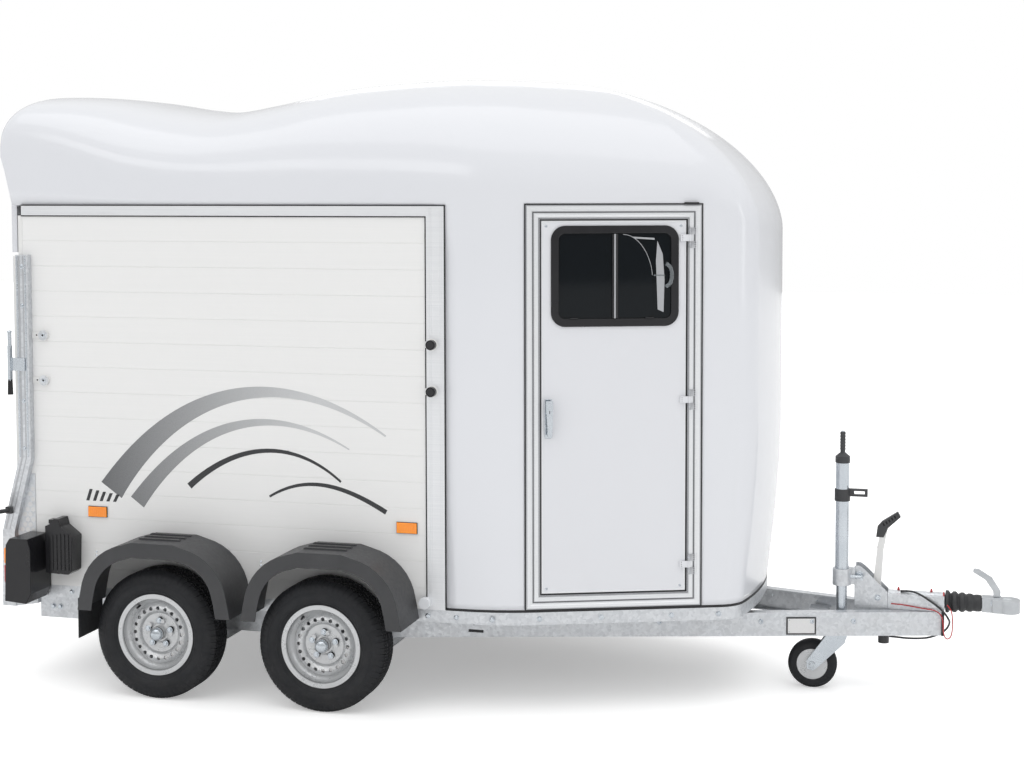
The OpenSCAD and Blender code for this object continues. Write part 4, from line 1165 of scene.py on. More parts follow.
@dataclass(frozen=True)
class Moulding:
    """The one-piece white moulding of nose and roof."""

    crest: tuple[tuple[float, float], ...] = (
        (-1400, 2708), (-1120, 2722), (-900, 2712), (-600, 2668), (-300, 2645), (-40, 2685), (250, 2745),
        (600, 2774), (900, 2779), (1250, 2752), (1600, 2700),
    )
    shoulder: tuple[tuple[float, float, float], ...] = (
        (-1400, 2500, 3.4), (-1000, 2440, 3.2), (-600, 2330, 2.8), (-200, 2300, 2.6), (300, 2290, 2.5),
        (900, 2270, 2.4), (1400, 2240, 2.2), (1980, 2222, 1.9), (2110, 2160, 1.8), (2243, 2080, 1.75),
    )
    tail_x: float = 1232.0
    tail_r: float = 90.0
    face_bow: float = 38.0
    corner_r: float = 140.0
    side_r: float = 900.0
    low: float = FLOOR_Z + 12.0

    def plan(self, back: float) -> list[tuple[float, float]]:
        """Gives the half plan of the nose, from the side to the centre line.

        Args:
            back: How far the front face is moved back.

        Returns:
            Points (x, half width), always as many.
        """
        fx = NOSE_X - back
        ax = PLAN_CORNER - self.side_r * math.tan(TAPER / 2)
        cx = fx - self.face_bow - self.corner_r
        cy = HALF_W - (cx + self.corner_r * math.sin(TAPER) - PLAN_CORNER) * math.tan(TAPER)
        cy -= self.corner_r * math.cos(TAPER)
        face = math.pi / 2 - math.atan(2 * self.face_bow / cy)
        angles = [TAPER * i / 12 for i in range(13)]
        door = math.asin((DOOR_X - ax) / self.side_r)
        angles = sorted(a for a in angles if abs(a - door) > 0.005) + [door]
        out = [(ax + self.side_r * math.sin(a), HALF_W - self.side_r * (1 - math.cos(a))) for a in sorted(angles)]
        end = DOOR_X + DOOR_W * math.cos(TAPER)
        for x in (1400.0, 1500.0, 1600.0, 1700.0, 1800.0, 1900.0, end, end + 20.0):
            out.append((x, HALF_W - (x - PLAN_CORNER) * math.tan(TAPER)))
        for i in range(17):
            a = lerp(TAPER, face, i / 16)
            out.append((cx + self.corner_r * math.sin(a), cy + self.corner_r * math.cos(a)))
        sx, sy = cx + self.corner_r * math.sin(face), cy + self.corner_r * math.cos(face)
        for i in range(1, 11):
            t = i / 10
            out.append((lerp(sx, fx, 1 - (1 - t) ** 2), sy * (1 - t)))
        return out

    def tuck(self, z: float) -> float:
        """Gives how far the front face is moved back at a height."""
        return 62.0 * min(max((1195.0 - z) / 739.0, 0.0), 1.0) ** 1.6

    def drop(self, x: float) -> float:
        """Gives how far the tail's rounding lowers the roof."""
        d = x + self.tail_x
        if d >= self.tail_r:
            return 0.0
        return self.tail_r - math.sqrt(max(self.tail_r ** 2 - (self.tail_r - d) ** 2, 0.0))

    def arch(self, x: float, y: float, steps: int) -> list[tuple[float, float, float]]:
        """Gives the roof's half section from the shoulder to the crest.

        Args:
            x: The station.
            y: The half width there.
            steps: How many pieces the arc has.

        Returns:
            The points on the right side.
        """
        sx = x if x < 1000 else lerp(1000, 1250, (x - 1000) / (NOSE_X - 1000))
        fall = self.drop(x)
        top = curve(self.crest, sx, 1) - fall * 0.8
        wall = curve(self.shoulder, x, 1) - fall * 0.6
        n = curve(self.shoulder, x, 2)
        out = []
        for i in range(steps + 1):
            a = math.pi / 2 * i / steps
            k = max(math.cos(a), 0.0) ** (2 / n)
            h = math.sin(a) ** (2 / n)
            out.append((lerp(sx, x, k), -y * k, lerp(wall, top, h)))
        out[-1] = (sx, 0.0, top)
        return out

    def build(self, shop: Workshop) -> None:
        """Adds the moulding.

        Args:
            shop: The workshop.
        """
        right = Shape()
        tail = [-self.tail_x + self.tail_r * (1 - math.cos(math.pi / 2 * i / 10)) for i in range(11)]
        straight = [lerp(tail[-1], SIDE_FRONT, i / 44) for i in range(1, 45)]
        rear = [(x, HALF_W) for x in tail + straight]
        nose = self.plan(0.0)
        upper = []
        for x, y in rear + nose:
            low = SIDE_TOP if x < SIDE_FRONT + 1 else min(DOOR_TOP, curve(self.shoulder, x, 1) - 15)
            arc = self.arch(x, y, 44)
            wall = arc[0][2]
            column = []
            for t in (0.0, 0.25, 0.5, 0.75):
                z = lerp(low, wall, t)
                d = x + self.tail_x
                slant = 56.0 * (1 - d / 60.0) * min(max((2440.0 - z) / 240.0, 0.0), 1.0) if d < 60 else 0.0
                column.append((x + slant, -y, z))
            upper.append(column + arc)
        right.grid([c[::-1] for c in upper])
        levels = [self.low, 480, 520, 570, 630, 700, 780, 870, 970, 1080, 1195, 1400, 1600, 1800, 2000]
        first = len(rear) - 1
        stations = [rear[-1]] + nose
        columns = []
        for i, (x, y) in enumerate(stations):
            end = upper[first + i][0]
            column = []
            for z in levels:
                q = (x, y) if i == 0 else self.plan(self.tuck(z))[i - 1]
                column.append((q[0], -q[1], z))
            columns.append(column + [(end[0], end[1], end[2])])
        end_x = DOOR_X + DOOR_W * math.cos(TAPER)
        for i in range(len(columns) - 1):
            a, b = stations[i][0], stations[i + 1][0]
            if a > DOOR_X - 0.5 and b < end_x + 0.5:
                continue
            right.grid([columns[i][::-1], columns[i + 1][::-1]])
        left = Shape()
        left.points = [Vector((p.x, -p.y, p.z)) for p in right.points]
        whole = Shape()
        whole.points = right.points + left.points
        count = len(right.points)
        whole.faces = right.faces + [[count + i for i in f][::-1] for f in right.faces]
        whole.marks = [0] * len(whole.faces)
        shop.make(whole, "moulding", Paint.GEL, replaces=("nose", "roof"), sharp=60.0, shell=25.0, weld=True)


@dataclass(frozen=True)
class Bodywork:
    """Side walls, rails, graphics and what hangs on them."""

    plain: tuple[tuple[str, Paint, float], ...] = (
        ("rear_header", Paint.GEL, 2.0), ("side_panel_right", Paint.PLANK, 0.6), ("side_panel_left", Paint.PLANK, 0.6),
        ("side_rails", Paint.RAIL, 2.0), ("floor_panel", Paint.FLOOR, 1.0), ("floor_frame", Paint.GALV, 1.0),
        ("rear_frame", Paint.COAT, 2.0), ("reflectors", Paint.AMBER, 1.5), ("front_lamps", Paint.WHITE_LENS, 2.0),
        ("wheel_chocks", Paint.GLOSS, 3.0), ("bar_knobs", Paint.GLOSS, 5.0), ("bar_brackets", Paint.COAT, 1.5),
        ("mudguards_right", Paint.PLASTIC, 2.0), ("mudguards_left", Paint.PLASTIC, 2.0),
        ("mudflaps", Paint.RUBBER, 1.0), ("partition", Paint.PAD, 4.0), ("bars", Paint.PAD, 2.0),
    )
    ribbons: tuple[tuple, ...] = (
        (Paint.INK_FADE, ((-690, 900), (-330, 1420), (180, 1500), (640, 1195)), (62, 4)),
        (Paint.INK_FADE, ((-560, 850), (-260, 1260), (120, 1330), (470, 1130)), (40, 3)),
        (Paint.INK, ((-300, 935), (-60, 1150), (210, 1170), (430, 985)), (15, 5)),
        (Paint.INK, ((90, 905), (260, 1010), (430, 980), (640, 860)), (5, 11)),
    )

    def build(self, shop: Workshop) -> None:
        """Adds the bodywork.

        Args:
            shop: The workshop.
        """
        for node, paint, bevel in self.plain:
            shop.refine(node, paint, bevel)
        for side in Side:
            self.trim(shop, side)
            self.graphics(shop, side)
            self.skirt(shop, side)

    def trim(self, shop: Workshop, side: Side) -> None:
        """Adds the rails' black lines and ridges with the knobs' brackets.

        Args:
            shop: The workshop.
            side: The side of the trailer.
        """
        kit = Kit(shop, "rail_trim_" + side.word, shape=Shape(side_frame(side)))
        y = -HALF_W - 4.0
        seal = kit.use(Paint.SEAL)
        seal.box((-1129, y - 1.2, SIDE_TOP - 1.5), (SIDE_FRONT + 4, y + 6, SIDE_TOP + 3.5))
        seal.box((SIDE_FRONT - 0.8, y - 1.2, FLOOR_Z + 4), (SIDE_FRONT + 4, y + 6, SIDE_TOP + 3))
        seal.box((-1129, y - 0.6, PANEL_TOP - 4.5), (PANEL_FRONT + 1, y + 6, PANEL_TOP + 0.4))
        seal.box((PANEL_FRONT - 4.5, y - 0.6, FLOOR_Z + 2), (PANEL_FRONT + 0.4, y + 6, PANEL_TOP))
        rail = kit.use(Paint.RAIL)
        for z in (7.0, 14.0, 33.0):
            rail.box((-1128, y - 0.9, PANEL_TOP + z), (SIDE_FRONT - z, y + 1, PANEL_TOP + z + 2.5))
        for x in (14.0, 22.0, 62.0, 70.0):
            rail.box((PANEL_FRONT + x, y - 0.9, FLOOR_Z + 3), (PANEL_FRONT + x + 2.5, y + 1, SIDE_TOP - 8))
        for z in (1398, 1601):
            plate = kit.use(Paint.COAT)
            plate.box((PANEL_FRONT - 5, y - 10, z - 14), (PANEL_FRONT + 14, y - 1, z + 14))
            plate.lathe([(26, 0), (26, 3), (21, 6)], (855, y - 0.2, z), (0, -1, 0), 32)
            kit.use(Paint.ZINC).dome((PANEL_FRONT + 4, y - 10, z), (0, -1, 0), 5, 3)
            kit.use(Paint.SEAL).lathe([(15, 0), (15, 1.5), (8, 2)], (855, y - 30, z), (0, -1, 0), 24)
        for z, x in ((1396, -1020), (1604, -1020)):
            kit.use(Paint.GALV).lathe([(24, 0), (24, 0.8)], (x + 0.5, -HALF_W - 15.9, z), (0, -1, 0), 32)
            kit.use(Paint.ZINC).lathe([(11, 0), (11, 2.5), (8, 3.5)], (x + 0.5, -HALF_W - 16, z), (0, -1, 0), 24)
            kit.use(Paint.SEAL).dome((x + 0.5, -HALF_W - 19.2, z), (0, -1, 0), 5, 3)
            kit.use(Paint.SEAL).dome((x - 38, -HALF_W - 5.2, z), (0, -1, 0), 4, 2)
        for x in (-806, 690):
            lens = kit.use(Paint.AMBER)
            for k in range(8):
                lens.box((x + 5 + 10.5 * k, -HALF_W - 11, 778), (x + 12 + 10.5 * k, -HALF_W - 9, 816))
            kit.use(Paint.SEAL).box((x - 2, -HALF_W - 5, 772), (x + 94, -HALF_W - 1, 822))
        kit.close(bevel=0.4)

    def graphics(self, shop: Workshop, side: Side) -> None:
        """Adds the sweeping ribbons on the planks.

        Args:
            shop: The workshop.
            side: The side of the trailer.
        """
        kit = Kit(shop, "ribbons_" + side.word, shape=Shape(side_frame(side)))
        y = -HALF_W - 0.5
        for paint, (a, b, c, d), (wide, thin) in self.ribbons:
            rows = []
            for i in range(49):
                t = i / 48
                u = 1 - t
                p = [u ** 3 * a[k] + 3 * u * u * t * b[k] + 3 * u * t * t * c[k] + t ** 3 * d[k] for k in (0, 1)]
                q = [
                    3 * (u * u * (b[k] - a[k]) + 2 * u * t * (c[k] - b[k]) + t * t * (d[k] - c[k])) for k in (0, 1)
                ]
                size = math.hypot(*q)
                half = lerp(wide, thin, t ** 0.8)
                n = (-q[1] / size * half, q[0] / size * half)
                rows.append([(p[0] + n[0], y, p[1] + n[1]), (p[0], y, p[1]), (p[0] - n[0], y, p[1] - n[1])])
            kit.use(paint).grid(rows)
        kit.use(Paint.INK)
        for k in range(5):
            x = -820 + 34 * k
            kit.shape.add(
                [(x, y, 846), (x + 16, y, 846), (x + 34, y, 900 - 5 * k), (x + 18, y, 900 - 5 * k)], [(0, 1, 2, 3)]
            )
        kit.close()

    def skirt(self, shop: Workshop, side: Side) -> None:
        """Adds bolts on skirt, mudguards and chocks.

        Args:
            shop: The workshop.
            side: The side of the trailer.
        """
        kit = Kit(shop, "skirt_bolts_" + side.word, shape=Shape(side_frame(side)))
        for x in (-1060, -900, 0, 120, 830, 960, 1120):
            kit.use(Paint.ZINC).hexagon((x, -HALF_W - 0.2, 415), (0, -1, 0), 17, 7)
        kit.use(Paint.SEAL).box((985, -HALF_W + 96, 330), (1052, -HALF_W + 102, 341))
        for axle in AXLES.values():
            for dx, z in ((-331, 430), (-318, 520), (376, 430), (366, 520)):
                kit.use(Paint.ZINC).dome((axle + dx, -HALF_W - 213, z), (0, -1, 0), 7, 3)
            edge = kit.use(Paint.GLOSS)
            for y in (50, 105, 160):
                edge.box((axle - 70, -HALF_W - y - 6, 720.5), (axle + 120, -HALF_W - y + 6, 722.5))
            for z in (436, 452):
                kit.use(Paint.ZINC).dome((axle - 240, -HALF_W - 247.5, z + 216), (0, -1, 0), 5, 2.5)
        chock = kit.use(Paint.GLOSS, side_frame(side))
        for k in range(6):
            x = -970 + 20 * k
            chock.box((x, -HALF_W - 94, 535), (x + 8, -HALF_W - 89, 690 + 4 * min(k, 3)))
        chock.box((-975, -HALF_W - 70, 744), (-950, -HALF_W - 30, 762))
        shell = Moulding()
        foot = kit.use(Paint.SEAL)
        line = [(SIDE_FRONT, HALF_W)] + shell.plan(shell.tuck(shell.low))
        foot.grid([[(x, 1.5 - y, FLOOR_Z - 1), (x, 1.5 - y, shell.low + 1)] for x, y in line])
        kit.use(Paint.ZINC, wall_frame(side))
        for u in (60, 330, 640, 850):
            kit.shape.hexagon((u, -0.3, 415), (0, -1, 0), 17, 7)
        kit.close()


@dataclass(frozen=True)
class Doors:
    """The two side doors with their windows."""

    def build(self, shop: Workshop) -> None:
        """Adds both doors.

        Args:
            shop: The workshop.
        """
        for side in Side:
            shop.refine("door_frame_" + side.word, Paint.FRAME, 1.0)
            shop.refine("door_" + side.word, Paint.LEAF, 1.5)
            shop.refine("window_frame_" + side.word, Paint.GLOSS, 3.0)
            shop.refine("window_pane_" + side.word, Paint.PANE, 0.5)
            shop.refine("door_handle_" + side.word, Paint.ZINC, 3.0)
            self.surround(shop, side)
            self.leaf(shop, side)

    def surround(self, shop: Workshop, side: Side) -> None:
        """Adds the frame's steps, seals, a line of painted shade in its groove, drip edge and hinge screws.

        Args:
            shop: The workshop.
            side: The side of the trailer.
        """
        kit = Kit(shop, "door_trim_" + side.word, shape=Shape(wall_frame(side)))
        outer = ((0.0, DOOR_Z), (DOOR_W, DOOR_TOP))
        kit.use(Paint.SEAL).loop(outer, [(-4.5, 0.2), (-4.5, 3.0), (1.5, 4.9), (1.5, 3.0)])
        # Black line at the floor of the groove between the two bands: painted shade.
        kit.use(Paint.SEAL).loop(outer, [(31, 3.0), (31, 4.7), (34, 4.7), (34, 3.0)])
        kit.use(Paint.SEAL).loop(outer, [(58, 3.0), (58, 4.6), (66.5, 1.0), (66.5, -20.0), (62.3, -20.0)])
        band = kit.use(Paint.RAIL)
        band.loop(outer, [(6, 3.6), (7, 7.0), (19, 7.0), (21, 5.4), (27, 5.4), (28, 3.6)])
        band.loop(outer, [(37, 3.6), (38, 6.2), (47, 6.2), (49, 8.0), (54, 8.0), (55, 3.6)])
        kit.use(Paint.SEAL).box((690, -14, DOOR_TOP - 2), (752, -3, DOOR_TOP + 9))
        for z in (640, 1360, 2060):
            for d in (-29.5, 29.5):
                for k in (-9, 0, 9):
                    kit.use(Paint.SEAL).dome((736, -11.2, z + d + k), (0, -1, 0), 2.4, 1.2, 10)
                kit.use(Paint.ZINC).lathe([(6.6, 0), (6.6, 2)], (714, -11, z + d - 1), (0, 0, 1), 16)
        kit.close()

    def leaf(self, shop: Workshop, side: Side) -> None:
        """Adds the leaf's seal, screws, window bar, sliding pane and handle, with painted shade in screw recesses and
        keyhole.

        Args:
            shop: The workshop.
            side: The side of the trailer.
        """
        body = "door_" + side.word
        kit = Kit(shop, "leaf_trim_" + side.word, body, Shape(wall_frame(side)))
        u0, u1, z0, z1 = 69.0, 699.0, 525.0, 2135.0
        kit.use(Paint.RAIL).loop(((u0, z0), (u1, z1)), [(0.3, -1.0), (0.3, 1.2), (7, 1.2), (8, -1.0)])
        for u, z in ((90, 546), (90, 2112), (676, 546), (676, 2112)):
            kit.use(Paint.ZINC).dome((u, -0.2, z), (0, -1, 0), 6, 2.5)
            # Black dot on the screw head: painted shade in its recess.
            kit.use(Paint.SEAL).dome((u, -2.4, z), (0, -1, 0), 1.8, 0.8, 8)
        for z in (640, 1360, 2060):
            for k in (-9, 0, 9):
                kit.use(Paint.SEAL).dome((681, -11.2, z + k), (0, -1, 0), 2.4, 1.2, 10)
        mid = 388.0
        kit.use(Paint.FRAME).box((mid - 5, -12, 1716), (mid + 2, -6, 2078))
        kit.use(Paint.SEAL).box((mid - 12, -8, 1716), (mid + 12, -5.6, 2078))
        arc = [(mid + 12, 2076)]
        for k in range(13):
            a = math.radians(90 - 90 * k / 12)
            arc.append((mid + 34 + 128 * math.cos(a), 1900 + 176 * math.sin(a) ** 1.2))
        arc += [(mid + 162, 1730), (mid + 150, 1718), (mid + 12, 1718)]
        kit.use(Paint.PANE).prism(arc, -4.4, -3.0)
        rim = kit.use(Paint.FRAME)
        for a, b in zip(arc[1:13], arc[2:14]):
            rim.rod((a[0], -4.6, a[1]), (b[0], -4.6, b[1]), 1.6, steps=6)
        shelf = kit.use(Paint.FRAME)
        shelf.prism([(574, 1752), (600, 1740), (604, 1880), (596, 1990), (572, 2048), (566, 1960)], -3.4, -2.7)
        shelf.prism([(440, 2060), (560, 2052), (560, 2060), (430, 2068)], -3.4, -2.7)
        catch = kit.use(Paint.CLEAR)
        catch.tube([(610, -6, 1850), (628, -14, 1868), (634, -16, 1900), (628, -14, 1932), (610, -6, 1950)], 9, 12, 4)
        catch.box((556, -7, 1896), (606, -4.5, 1902))
        kit.use(Paint.SEAL).box((190, -12, 1714), (226, -8, 1719))
        kit.use(Paint.SEAL).box((520, -12, 1714), (556, -8, 1719))
        kit.use(Paint.SEAL).lathe([(4.5, 0), (4.5, 1.0)], (99, -34, 1318), (0, -1, 0), 16)
        grip = kit.use(Paint.ZINC)
        grip.lathe([(15, 0), (15, 3), (12, 6)], (99, -33.5, 1318), (0, -1, 0), 28)
        grip.prism([(84, 1366), (84, 1330), (92, 1215), (103, 1205), (110, 1215), (114, 1330), (114, 1366)], -46, -40)
        # Black slot on the grip: painted shade in the keyhole.
        kit.use(Paint.SEAL).box((98, -47, 1311), (100.5, -45.8, 1325))
        kit.close(bevel=0.8)


@dataclass(frozen=True)
class Rear:
    """Ramp, flap, posts and lamps at the back."""

    plain: tuple[tuple[str, Paint, float], ...] = (
        ("rear_posts", Paint.GALV, 1.5), ("ramp_hinges", Paint.ZINC, 1.5), ("ramp", Paint.COAT, 2.0),
        ("ramp_rubber", Paint.RUBBER, 1.0), ("ramp_latches", Paint.ZINC, 2.0), ("top_flap", Paint.GEL, 3.0),
        ("rear_lamps", Paint.GLOSS, 4.0), ("marker_lamps", Paint.PLASTIC, 2.0),
    )

    def build(self, shop: Workshop) -> None:
        """Adds the rear.

        Args:
            shop: The workshop.
        """
        for node, paint, bevel in self.plain:
            shop.refine(node, paint, bevel)
        self.ramp(shop)
        self.flap(shop)
        for side in Side:
            self.post(shop, side)
            self.lamps(shop, side)

    def ramp(self, shop: Workshop) -> None:
        """Adds the ramp's edge frame, planks, number plate, handles and cleats.

        Args:
            shop: The workshop.
        """
        back = Matrix.Translation((-1200.0, 0, 0)) @ Matrix.Rotation(math.radians(-90), 4, "Z")
        kit = Kit(shop, "ramp_trim", "ramp", Shape(back))
        outer = ((-829.0, 440.0), (829.0, 1964.0))
        rail = kit.use(Paint.RAIL)
        rail.loop(outer, [(0, -3.0), (0, 3.0), (4, 5.5), (22, 5.5), (26, 8.0), (40, 8.0), (44, 2.0), (44, -1.0)])
        for k in range(1, 12):
            kit.use(Paint.SEAL).box((-784, -0.7, 470 + 118 * k), (784, 1, 472.5 + 118 * k))
        kit.use(Paint.PLASTIC).box((-268, -12, 1000), (268, 0, 1124))
        kit.use(Paint.BARE).box((-260, -13.5, 1007), (260, -11, 1117))
        for u in (-200, 200):
            kit.use(Paint.PLASTIC).box((u - 40, -34, 1130), (u + 40, 0, 1152))
            kit.use(Paint.WHITE_LENS).box((u - 30, -32, 1127), (u + 30, -10, 1131))
        for u in (-650, 650):
            tri = [(u - 70, 560), (u + 70, 560), (u, 682)]
            kit.use(Paint.RED).prism(tri, -9, 0)
            kit.use(Paint.PLASTIC).prism([(u - 80, 554), (u + 80, 554), (u, 694)], -4, 0)
            kit.use(Paint.ZINC).tube([(u, -2, 1500), (u, -34, 1512), (u, -38, 1560), (u, -34, 1608), (u, -2, 1620)],
                                     8, 12, 4)
        front = Matrix.Translation((-1151.4, 0, 0)) @ Matrix.Rotation(math.radians(90), 4, "Z")
        cleat = kit.use(Paint.RAIL, front)
        for k in range(9):
            z = 520 + 160 * k
            cleat.box((-740, -12, z), (740, 0, z + 8))
            cleat.box((-740, -5, z - 10), (740, 0, z + 18))
        kit.close(bevel=1.0)

    def flap(self, shop: Workshop) -> None:
        """Adds the top flap's edge frame, grip and catches.

        Args:
            shop: The workshop.
        """
        back = Matrix.Translation((-1179.2, 0, 0)) @ Matrix.Rotation(math.radians(-90), 4, "Z")
        kit = Kit(shop, "flap_trim", "top_flap", Shape(back))
        kit.use(Paint.RAIL).loop(((-829.0, 1984.0), (829.0, 2419.0)), [(0, -2), (0, 4), (16, 4), (20, 0), (20, -2)])
        for u in (-700, 0, 700):
            kit.use(Paint.ZINC).box((u - 18, -7, 2004), (u + 18, 0, 2060))
            kit.use(Paint.PLASTIC).rod((u, -6, 2030), (u, -20, 2030), 12)
        kit.close(bevel=0.8)

    def post(self, shop: Workshop, side: Side) -> None:
        """Adds the post's holes, bolts, dark strips of painted shade and reflection, and lock lever.

        Args:
            shop: The workshop.
            side: The side of the trailer.
        """
        kit = Kit(shop, "post_trim_" + side.word, shape=Shape(side_frame(side)))
        y = -HALF_W - 4.5
        for row_no in range(15):
            z = 600 + 24 * row_no
            bound = -1174 + max(z - 690, 0) * 74 / 270 + 16
            for col in range(4):
                x = -1093 - 28 * col + (14 if row_no % 2 else 0)
                if bound < x < -1091:
                    kit.use(Paint.BARE).lathe([(12, 0), (12, 0.6)], (x, y + 0.2, z), (0, -1, 0), 6)
        # Two darker strips: painted shade and dark reflections of the channel profile's faces.
        for x, wide in ((-1131, 9), (-1108, 5)):
            line = [(x, 1968), (x, 1034), (x - 92, 700), (x - 92 + wide, 700), (x + wide, 1034), (x + wide, 1968)]
            kit.use(Paint.FRAME).prism(line, -HALF_W - 35.2, -HALF_W - 33)
        edge = kit.use(Paint.ZINC)
        for x in (-1139, -1098):
            edge.box((x, -HALF_W - 36, 1040), (x + 6, -HALF_W - 33, 1968))
        for z in (1080, 1300, 1740, 1920):
            edge.hexagon((-1113, -HALF_W - 34.4, z), (0, -1, 0), 15, 6)
        edge.rod((-1174, -HALF_W - 46, 1545), (-1174, -HALF_W - 46, 1620), 9)
        edge.dome((-1174, -HALF_W - 46, 1618), (0, 0, 1), 12, 9)
        kit.use(Paint.GLOSS).rod((-1174, -HALF_W - 46, 1400), (-1174, -HALF_W - 46, 1330), 11, 13)
        kit.close(bevel=0.6)

    def lamps(self, shop: Workshop, side: Side) -> None:
        """Adds the lamp cluster's lenses and the marker's lenses.

        Args:
            shop: The workshop.
            side: The side of the trailer.
        """
        kit = Kit(shop, "lamp_lenses_" + side.word, shape=Shape(side_frame(side)))
        y0, y1 = -HALF_W - 178, -HALF_W - 12
        for z, high, paint in ((420, 60, Paint.WHITE_LENS), (484, 84, Paint.RED), (572, 74, Paint.AMBER)):
            lens = kit.use(paint)
            lens.prism([(-1141, z), (-1120, z), (-1120, z + high), (-1137, z + high)], y0, y1)
            for k in range(9):
                y = lerp(y0, y1, (k + 0.5) / 9)
                lens.box((-1144, y - 6, z + 5), (-1134, y + 6, z + high - 5))
        x = -1250
        kit.use(Paint.RED).box((x - 14, -HALF_W - 172, 786), (x - 7, -HALF_W - 142, 834))
        kit.use(Paint.WHITE_LENS).box((x + 25, -HALF_W - 172, 786), (x + 31, -HALF_W - 142, 834))
        kit.close(bevel=2.0)


@dataclass(frozen=True)
class RunningGear:
    """Chassis, axles, wheels and tyres."""

    plain: tuple[tuple[str, Paint, float], ...] = (("chassis", Paint.GALV, 2.0), ("axle_front", Paint.GALV, 2.0), ("axle_rear", Paint.GALV, 2.0))

    def build(self, shop: Workshop) -> None:
        """Adds the running gear.

        Args:
            shop: The workshop.
        """
        for node, paint, bevel in self.plain:
            shop.refine(node, paint, bevel)
        for axle, x in AXLES.items():
            for side in Side:
                tag = f"{axle}_{side.word}"
                centre = Vector((x, side.value * TRACK / 2, WHEEL_Z))
                shop.refine("rim_" + tag, Paint.WHEEL, 1.2)
                self.tyre(shop, tag, centre)
                self.hub(shop, tag, centre, Vector((0, side.value, 0)))
        self.chassis_bolts(shop)

    def tyre(self, shop: Workshop, tag: str, centre: Vector) -> None:
        """Adds a tyre with ribs, grooves and sipes.

        Args:
            shop: The workshop.
            tag: The wheel's name.
            centre: The wheel's middle.
        """
        wall = [
            (167.0, 61.6), (182.9, 65.6), (190.5, 72.0), (198, 78), (200, 80.5), (203, 80.5), (205, 82), (216, 86.2),
            (226, 87.0), (238, 86.0), (240, 84.8), (242, 85.6), (250, 83.6), (264, 78.5), (276, 71.2), (283, 62.0),
        ]
        tread = []
        for edge, mid in ((54.0, 50.0), (32.0, 28.0), (8.0, 4.0)):
            tread += [(289.2, edge + 3), (289.6, edge), (281.5, edge - 1), (281.5, mid - 1), (289.8, mid - 2)]
        half = [(r, h, 0) for r, h in wall] + [(r, h, 1) for r, h in tread]
        profile = half + [(r, -h, g) for r, h, g in reversed(half)]
        pitches = 64
        shares = (0.0, 0.05, 0.10, 0.13, 0.55, 0.60, 0.64)
        dips = (0.0, 5.0, 5.0, 0.0, 0.0, 3.0, 0.0)
        shape = Shape()
        rows = []
        for k in range(pitches):
            for share, dip in zip(shares, dips):
                ring = []
                for r, h, on_tread in profile:
                    lean = 0.35 * abs(h) / 60.0
                    a = 2 * math.pi * (k + share + lean) / pitches
                    deep = dip if on_tread and r > 285 else (2.0 if dip > 4 and 262 < r < 285 else 0.0)
                    ring.append(centre + Vector(((r - deep) * math.cos(a), h, (r - deep) * math.sin(a))))
                rows.append(ring)
        rows.append(rows[0])
        shape.grid(rows, closed=True)
        for face in shape.faces:
            face.reverse()
        shop.make(shape, "tyre_tread_" + tag, Paint.TYRE, "wheel_" + tag, ("tyre_" + tag,), sharp=28.0, weld=True)

    def hub(self, shop: Workshop, tag: str, centre: Vector, out: Vector) -> None:
        """Adds the wheel's bolts, cap, valve and black rings of painted shade in the rim's gaps and bolt holes.

        Args:
            shop: The workshop.
            tag: The wheel's name.
            centre: The wheel's middle.
            out: The direction to the outside.
        """
        kit = Kit(shop, "hub_trim_" + tag, "wheel_" + tag)

        def at(height: float) -> Vector:
            """Gives the point on the wheel's axis at a height over its middle."""
            return centre + out * height

        for i in range(5):
            a = 2 * math.pi * i / 5 + 0.3
            spot = Vector((56 * math.cos(a), 0, 56 * math.sin(a)))
            kit.use(Paint.ZINC).hexagon(at(34) + spot, out, 19, 8)
            # Black disc under each bolt: painted shade in its hole.
            kit.use(Paint.SEAL).lathe([(15, 0), (15, 1)], at(22.6) + spot, out, 20)
        kit.use(Paint.ZINC).lathe([(28, 0), (28, 14), (26, 20), (18, 26), (0.1, 28)], at(50), out, 40)
        # Black rings round the cap, at the tyre's bead and in the rim's groove: painted shade in the gaps.
        kit.use(Paint.SEAL).lathe([(31.5, 0), (31.5, 3), (28, 3.5), (28, 0)], at(50), out, 40, True)
        kit.use(Paint.SEAL).lathe([(184.2, 0), (184.2, 2.2), (181.5, 2.2), (181.5, 0)], at(65.4), out, 96, True)
        kit.use(Paint.SEAL).lathe([(164.4, 0), (163.6, 2.4), (160.6, 2.4), (160.4, 0)], at(59), out, 96, True)
        a = math.radians(128)
        spot = Vector((150 * math.cos(a), 0, 150 * math.sin(a)))
        kit.use(Paint.SEAL).rod(at(34) + spot, at(66) + spot * 0.97, 5.5, 4.5, 12)
        kit.close()

    def chassis_bolts(self, shop: Workshop) -> None:
        """Adds bolts and plates along the chassis rails.

        Args:
            shop: The workshop.
        """
        kit = Kit(shop, "chassis_bolts")
        for side in Side:
            kit.use(Paint.ZINC, side_frame(side))
            for x in (-1040, -640, -244, 544, 244):
                for dx in (-18, 18):
                    kit.shape.hexagon((x + dx, -RAILS_Y - 0.2, 316), (0, -1, 0), 19, 8)
            for axle in AXLES.values():
                for dx in (-45, 45):
                    kit.shape.hexagon((axle + 150 + dx, -RAILS_Y - 0.2, 290), (0, -1, 0), 21, 9)
            slant = math.atan(DRAW_SLOPE)
            for x in (960, 1360, 1760, 2200, 2420, 2600):
                y = -(RAILS_Y - (x - DRAW_X) * DRAW_SLOPE)
                kit.shape.hexagon((x, y - 0.2, 330), (math.sin(slant) * -1, -math.cos(slant), 0), 18, 8)
        kit.close()


